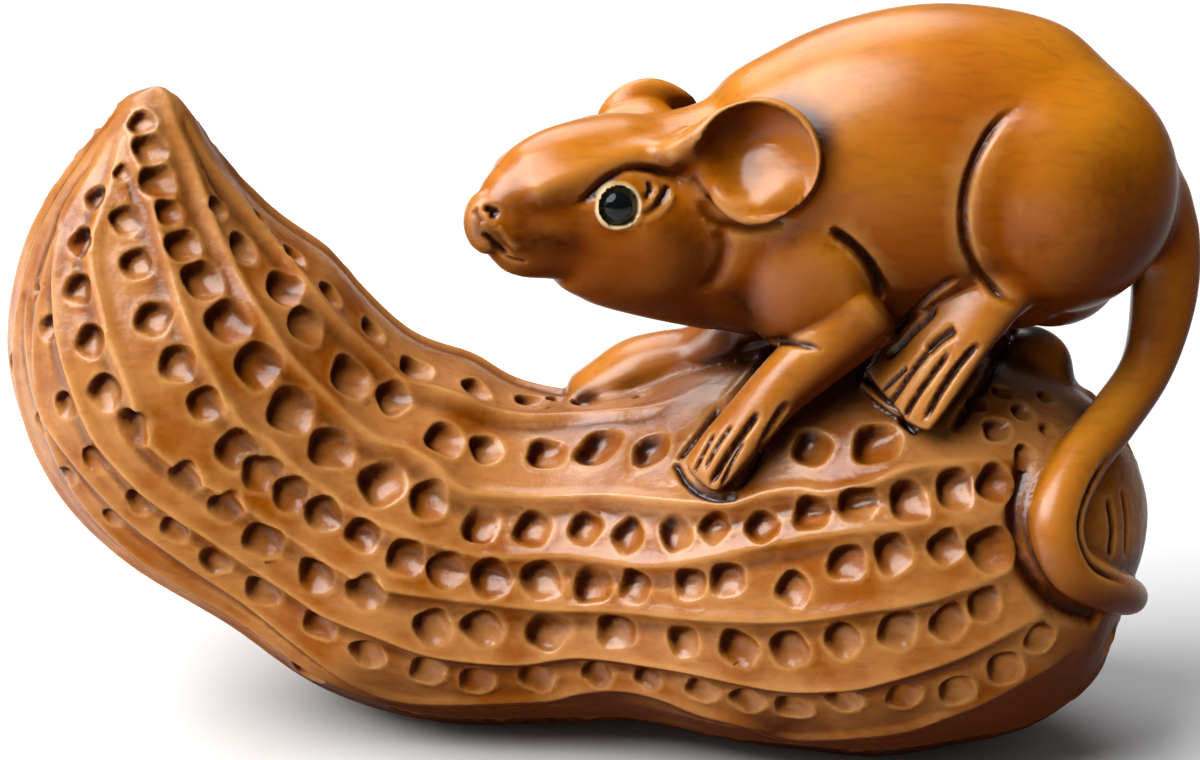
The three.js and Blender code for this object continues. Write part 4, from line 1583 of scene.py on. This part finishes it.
@dataclass(frozen=True)
class StainedBoxwood:
    """Boxwood stained orange brown under a satin polish, darker in its recesses with stain and painted shade,
    with painted shade on sides, undersides and away from the light, and a painted sheen towards the light.

    Attributes:
        golden: The rat's wood, in soft clouds with the next.
        orange: The other wood of the rat.
        side: The painted shade that both turn to on sides and undersides.
        tan: The husk's wood, in soft clouds with the next.
        husk_orange: The other wood of the husk.
        brown: Streaks, patina with painted shade, and thin stain with painted shade.
        dark: Thick stain and painted shade.
        rubbed: The bare edges.
        cream: The rims round the eyes.
        rubbed_share: How bare the rubbed edges are.
        painted_side_shade: How far up a place faces where it has none of the side's painted shade, and where
            it has it all.
        gloss: The reflection, painted by where the skin faces: strong towards the light and next to none on
            sides that face away from it.
        polish_and_painted_sheen: The coat, painted the same way by where the skin faces the light.
    """

    golden: Colour = (206, 124, 0)
    orange: Colour = (182, 94, 0)
    side: Colour = (130, 60, 0)
    tan: Colour = (184, 118, 58)
    husk_orange: Colour = (156, 82, 10)
    brown: Colour = (70, 26, 2)
    dark: Colour = (26, 11, 4)
    rubbed: Colour = (230, 170, 96)
    cream: Colour = (250, 222, 170)
    rubbed_share: float = 0.4
    clouds: Pattern = Pattern(0.11, 4, Span(0.38, 0.62))
    husk_clouds: Pattern = Pattern(0.28, 5, Span(0.42, 0.62))
    streaks: Pattern = Pattern(2.4, 4, Span(0.5, 0.78, (0.0, 0.28)), (0.22, 1.0, 1.0))
    specks: Pattern = Pattern(2.2, 4, Span(0.35, 0.65, (0.8, 1.05)))
    painted_side_shade: Span = Span(0.85, -0.15)
    patina_and_painted_shade: Span = Span(0.15, 0.7, (0.0, 0.97))
    thin_stain_and_shade: Span = Span(0.04, 0.6)
    thick_stain_and_shade: Span = Span(0.5, 1.0)
    roughness: Pattern = Pattern(0.8, 4, Span(0.3, 0.7, (0.25, 0.33)))
    gloss: Span = Span(0.0, 0.75, (0.02, 0.7))
    polish_and_painted_sheen: Span = Span(0.1, 0.8, (0.0, 0.14))
    polish_roughness: float = 0.25
    pores: Pattern = Pattern(3.5, 5, stretch=(0.3, 1.0, 1.0))
    pore_depth: float = 0.00003
    pore_strength: float = 0.35
    tool_marks: Pattern = Pattern(0.9, 4)
    tool_depth: float = 0.00012
    tool_strength: float = 0.6

    def build(self) -> bpy.types.Material:
        """Makes the material.

        Returns:
            The material.
        """
        shader = Shader("stained_boxwood")
        husk, towards = shader.mask(Mask.HUSK), shader.mask(Mask.TOWARDS)
        wood = shader.mix(shader.pattern(self.clouds), srgb(self.golden), srgb(self.orange))
        # Painted shade: the rat's wood turns to the side colour as the skin turns from facing up to facing
        # sideways and down
        wood = shader.mix(shader.span(shader.mask(Mask.UPWARD), self.painted_side_shade), wood, srgb(self.side))
        shell = shader.mix(shader.pattern(self.husk_clouds), srgb(self.tan), srgb(self.husk_orange))
        wood = shader.mix(husk, wood, shell)
        wood = shader.mix(shader.pattern(self.streaks), wood, srgb(self.brown))
        bare = shader.math("MULTIPLY", shader.mask(Mask.RUBBED), self.rubbed_share)
        wood = shader.mix(bare, wood, srgb(self.rubbed))
        # Patina and painted shade: browner in hidden places, on sides that face away from the light and
        # underneath
        wood = shader.mix(shader.span(shader.mask(Mask.PATINA_AND_PAINTED_SHADE), self.patina_and_painted_shade), wood, srgb(self.brown))
        # Stain with painted shade, from the cuts, the pit walls, the ribs' grooves and the hollows
        stain_and_painted_shade = shader.math("MULTIPLY", shader.mask(Mask.STAIN_AND_PAINTED_SHADE), shader.pattern(self.specks))
        wood = shader.mix(shader.span(stain_and_painted_shade, self.thin_stain_and_shade), wood, srgb(self.brown))
        wood = shader.mix(shader.span(stain_and_painted_shade, self.thick_stain_and_shade), wood, srgb(self.dark))
        for eye in EYES:
            wood = shader.mix(self.ring(shader, eye), wood, srgb(self.cream))
        pores = shader.add("ShaderNodeBump", {
            "Height": shader.noise(self.pores), "Strength": self.pore_strength, "Distance": self.pore_depth})
        marks = shader.add("ShaderNodeBump", {
            "Height": shader.math("MULTIPLY", husk, shader.noise(self.tool_marks)),
            "Strength": self.tool_strength, "Distance": self.tool_depth, "Normal": pores.outputs[0]})
        # Painted sheen: the reflection and the coat are strong where the skin faces the light and fade where
        # it faces away
        shader.dress(
            base_color=wood, roughness=shader.pattern(self.roughness), normal=marks.outputs[0],
            specular_ior_level=shader.span(towards, self.gloss), coat_roughness=self.polish_roughness,
            coat_weight=shader.span(towards, self.polish_and_painted_sheen))
        return shader.material

    @staticmethod
    def ring(shader: Shader, eye: EyeBead) -> bpy.types.NodeSocket:
        """The mask of the pale rim round an eye.

        Args:
            shader: The wood's shader.
            eye: The eye.

        Returns:
            A value from 0 to 1.
        """
        place = shader.add("ShaderNodeTexCoord").outputs["Object"]
        middle = tuple((eye.middle + TO_FRAME) * MM)
        gap = shader.add("ShaderNodeVectorMath", {0: place, 1: middle}, operation="DISTANCE").outputs["Value"]
        edge = eye.diameter / 2 + eye.rim
        return shader.span(gap, Span((edge + eye.rim_blur) * MM, edge * MM, (0.0, eye.paleness)))


@dataclass(frozen=True)
class PolishedBead:
    """A glossy black bead, in soft clouds of near black and a bluish painted sheen."""

    colour: Colour = (6, 8, 11)
    bluish_painted_sheen: Colour = (18, 24, 34)
    clouds: Pattern = Pattern(1.5, 2, Span(0.3, 0.7, (0.0, 0.3)))
    roughness: float = 0.1
    gloss: float = 0.28

    def build(self) -> bpy.types.Material:
        """Makes the material.

        Returns:
            The material.
        """
        shader = Shader("polished_bead")
        colour = shader.mix(shader.pattern(self.clouds), srgb(self.colour), srgb(self.bluish_painted_sheen))
        shader.dress(base_color=colour, roughness=self.roughness, specular_ior_level=self.gloss)
        return shader.material


@dataclass(frozen=True)
class SoftLight:
    """A large soft lamp: where it stands and looks, in metres, its size and its power."""

    place: Point
    size: float
    power: float
    aim: Point = (0.0, 0.0, 0.02)

    def build(self) -> None:
        """Adds the lamp."""
        bpy.ops.object.light_add(type="AREA", location=self.place)
        lamp = bpy.context.active_object
        lamp.data.shape = "DISK"
        lamp.data.size = self.size
        lamp.data.energy = self.power
        lamp.rotation_euler = (Vector(self.aim) - Vector(self.place)).to_track_quat("-Z", "Y").to_euler()


@dataclass(frozen=True)
class Studio:
    """A plain pale floor under soft light."""

    lamps: tuple[SoftLight, ...] = (
        SoftLight((-0.26, -0.12, 0.42), 0.50, 4.0),
        SoftLight((-0.48, -0.04, 0.22), 0.42, 0.6),
        SoftLight((-0.10, 0.34, 0.40), 0.42, 1.3),
    )
    floor_size: float = 6.0
    floor_tone: Colour = (240, 240, 240)
    floor_roughness: float = 0.8
    sky: float = 0.1

    def build(self) -> None:
        """Adds the floor, the lamps and the sky."""
        deselect()
        bpy.ops.mesh.primitive_plane_add(size=self.floor_size)
        floor = bpy.context.active_object
        floor.name = "floor"
        shader = Shader("pale_floor")
        shader.dress(base_color=srgb(self.floor_tone), roughness=self.floor_roughness)
        floor.data.materials.append(shader.material)
        for lamp in self.lamps:
            lamp.build()
        world = bpy.data.worlds.new("sky")
        world.use_nodes = True
        background = world.node_tree.nodes["Background"]
        background.inputs["Color"].default_value = (1, 1, 1, 1)
        background.inputs["Strength"].default_value = self.sky
        bpy.context.scene.world = world
        bpy.context.scene.view_settings.view_transform = "Standard"


def main() -> None:
    """Builds the figurine and its studio."""
    logging.basicConfig(level=logging.INFO, format="%(message)s")
    CAMERA.build()
    Studio().build()
    Carving().build(StainedBoxwood().build())
    bead = PolishedBead().build()
    for eye in EYES:
        eye.build(bead)


if __name__ == "__main__":
    main()
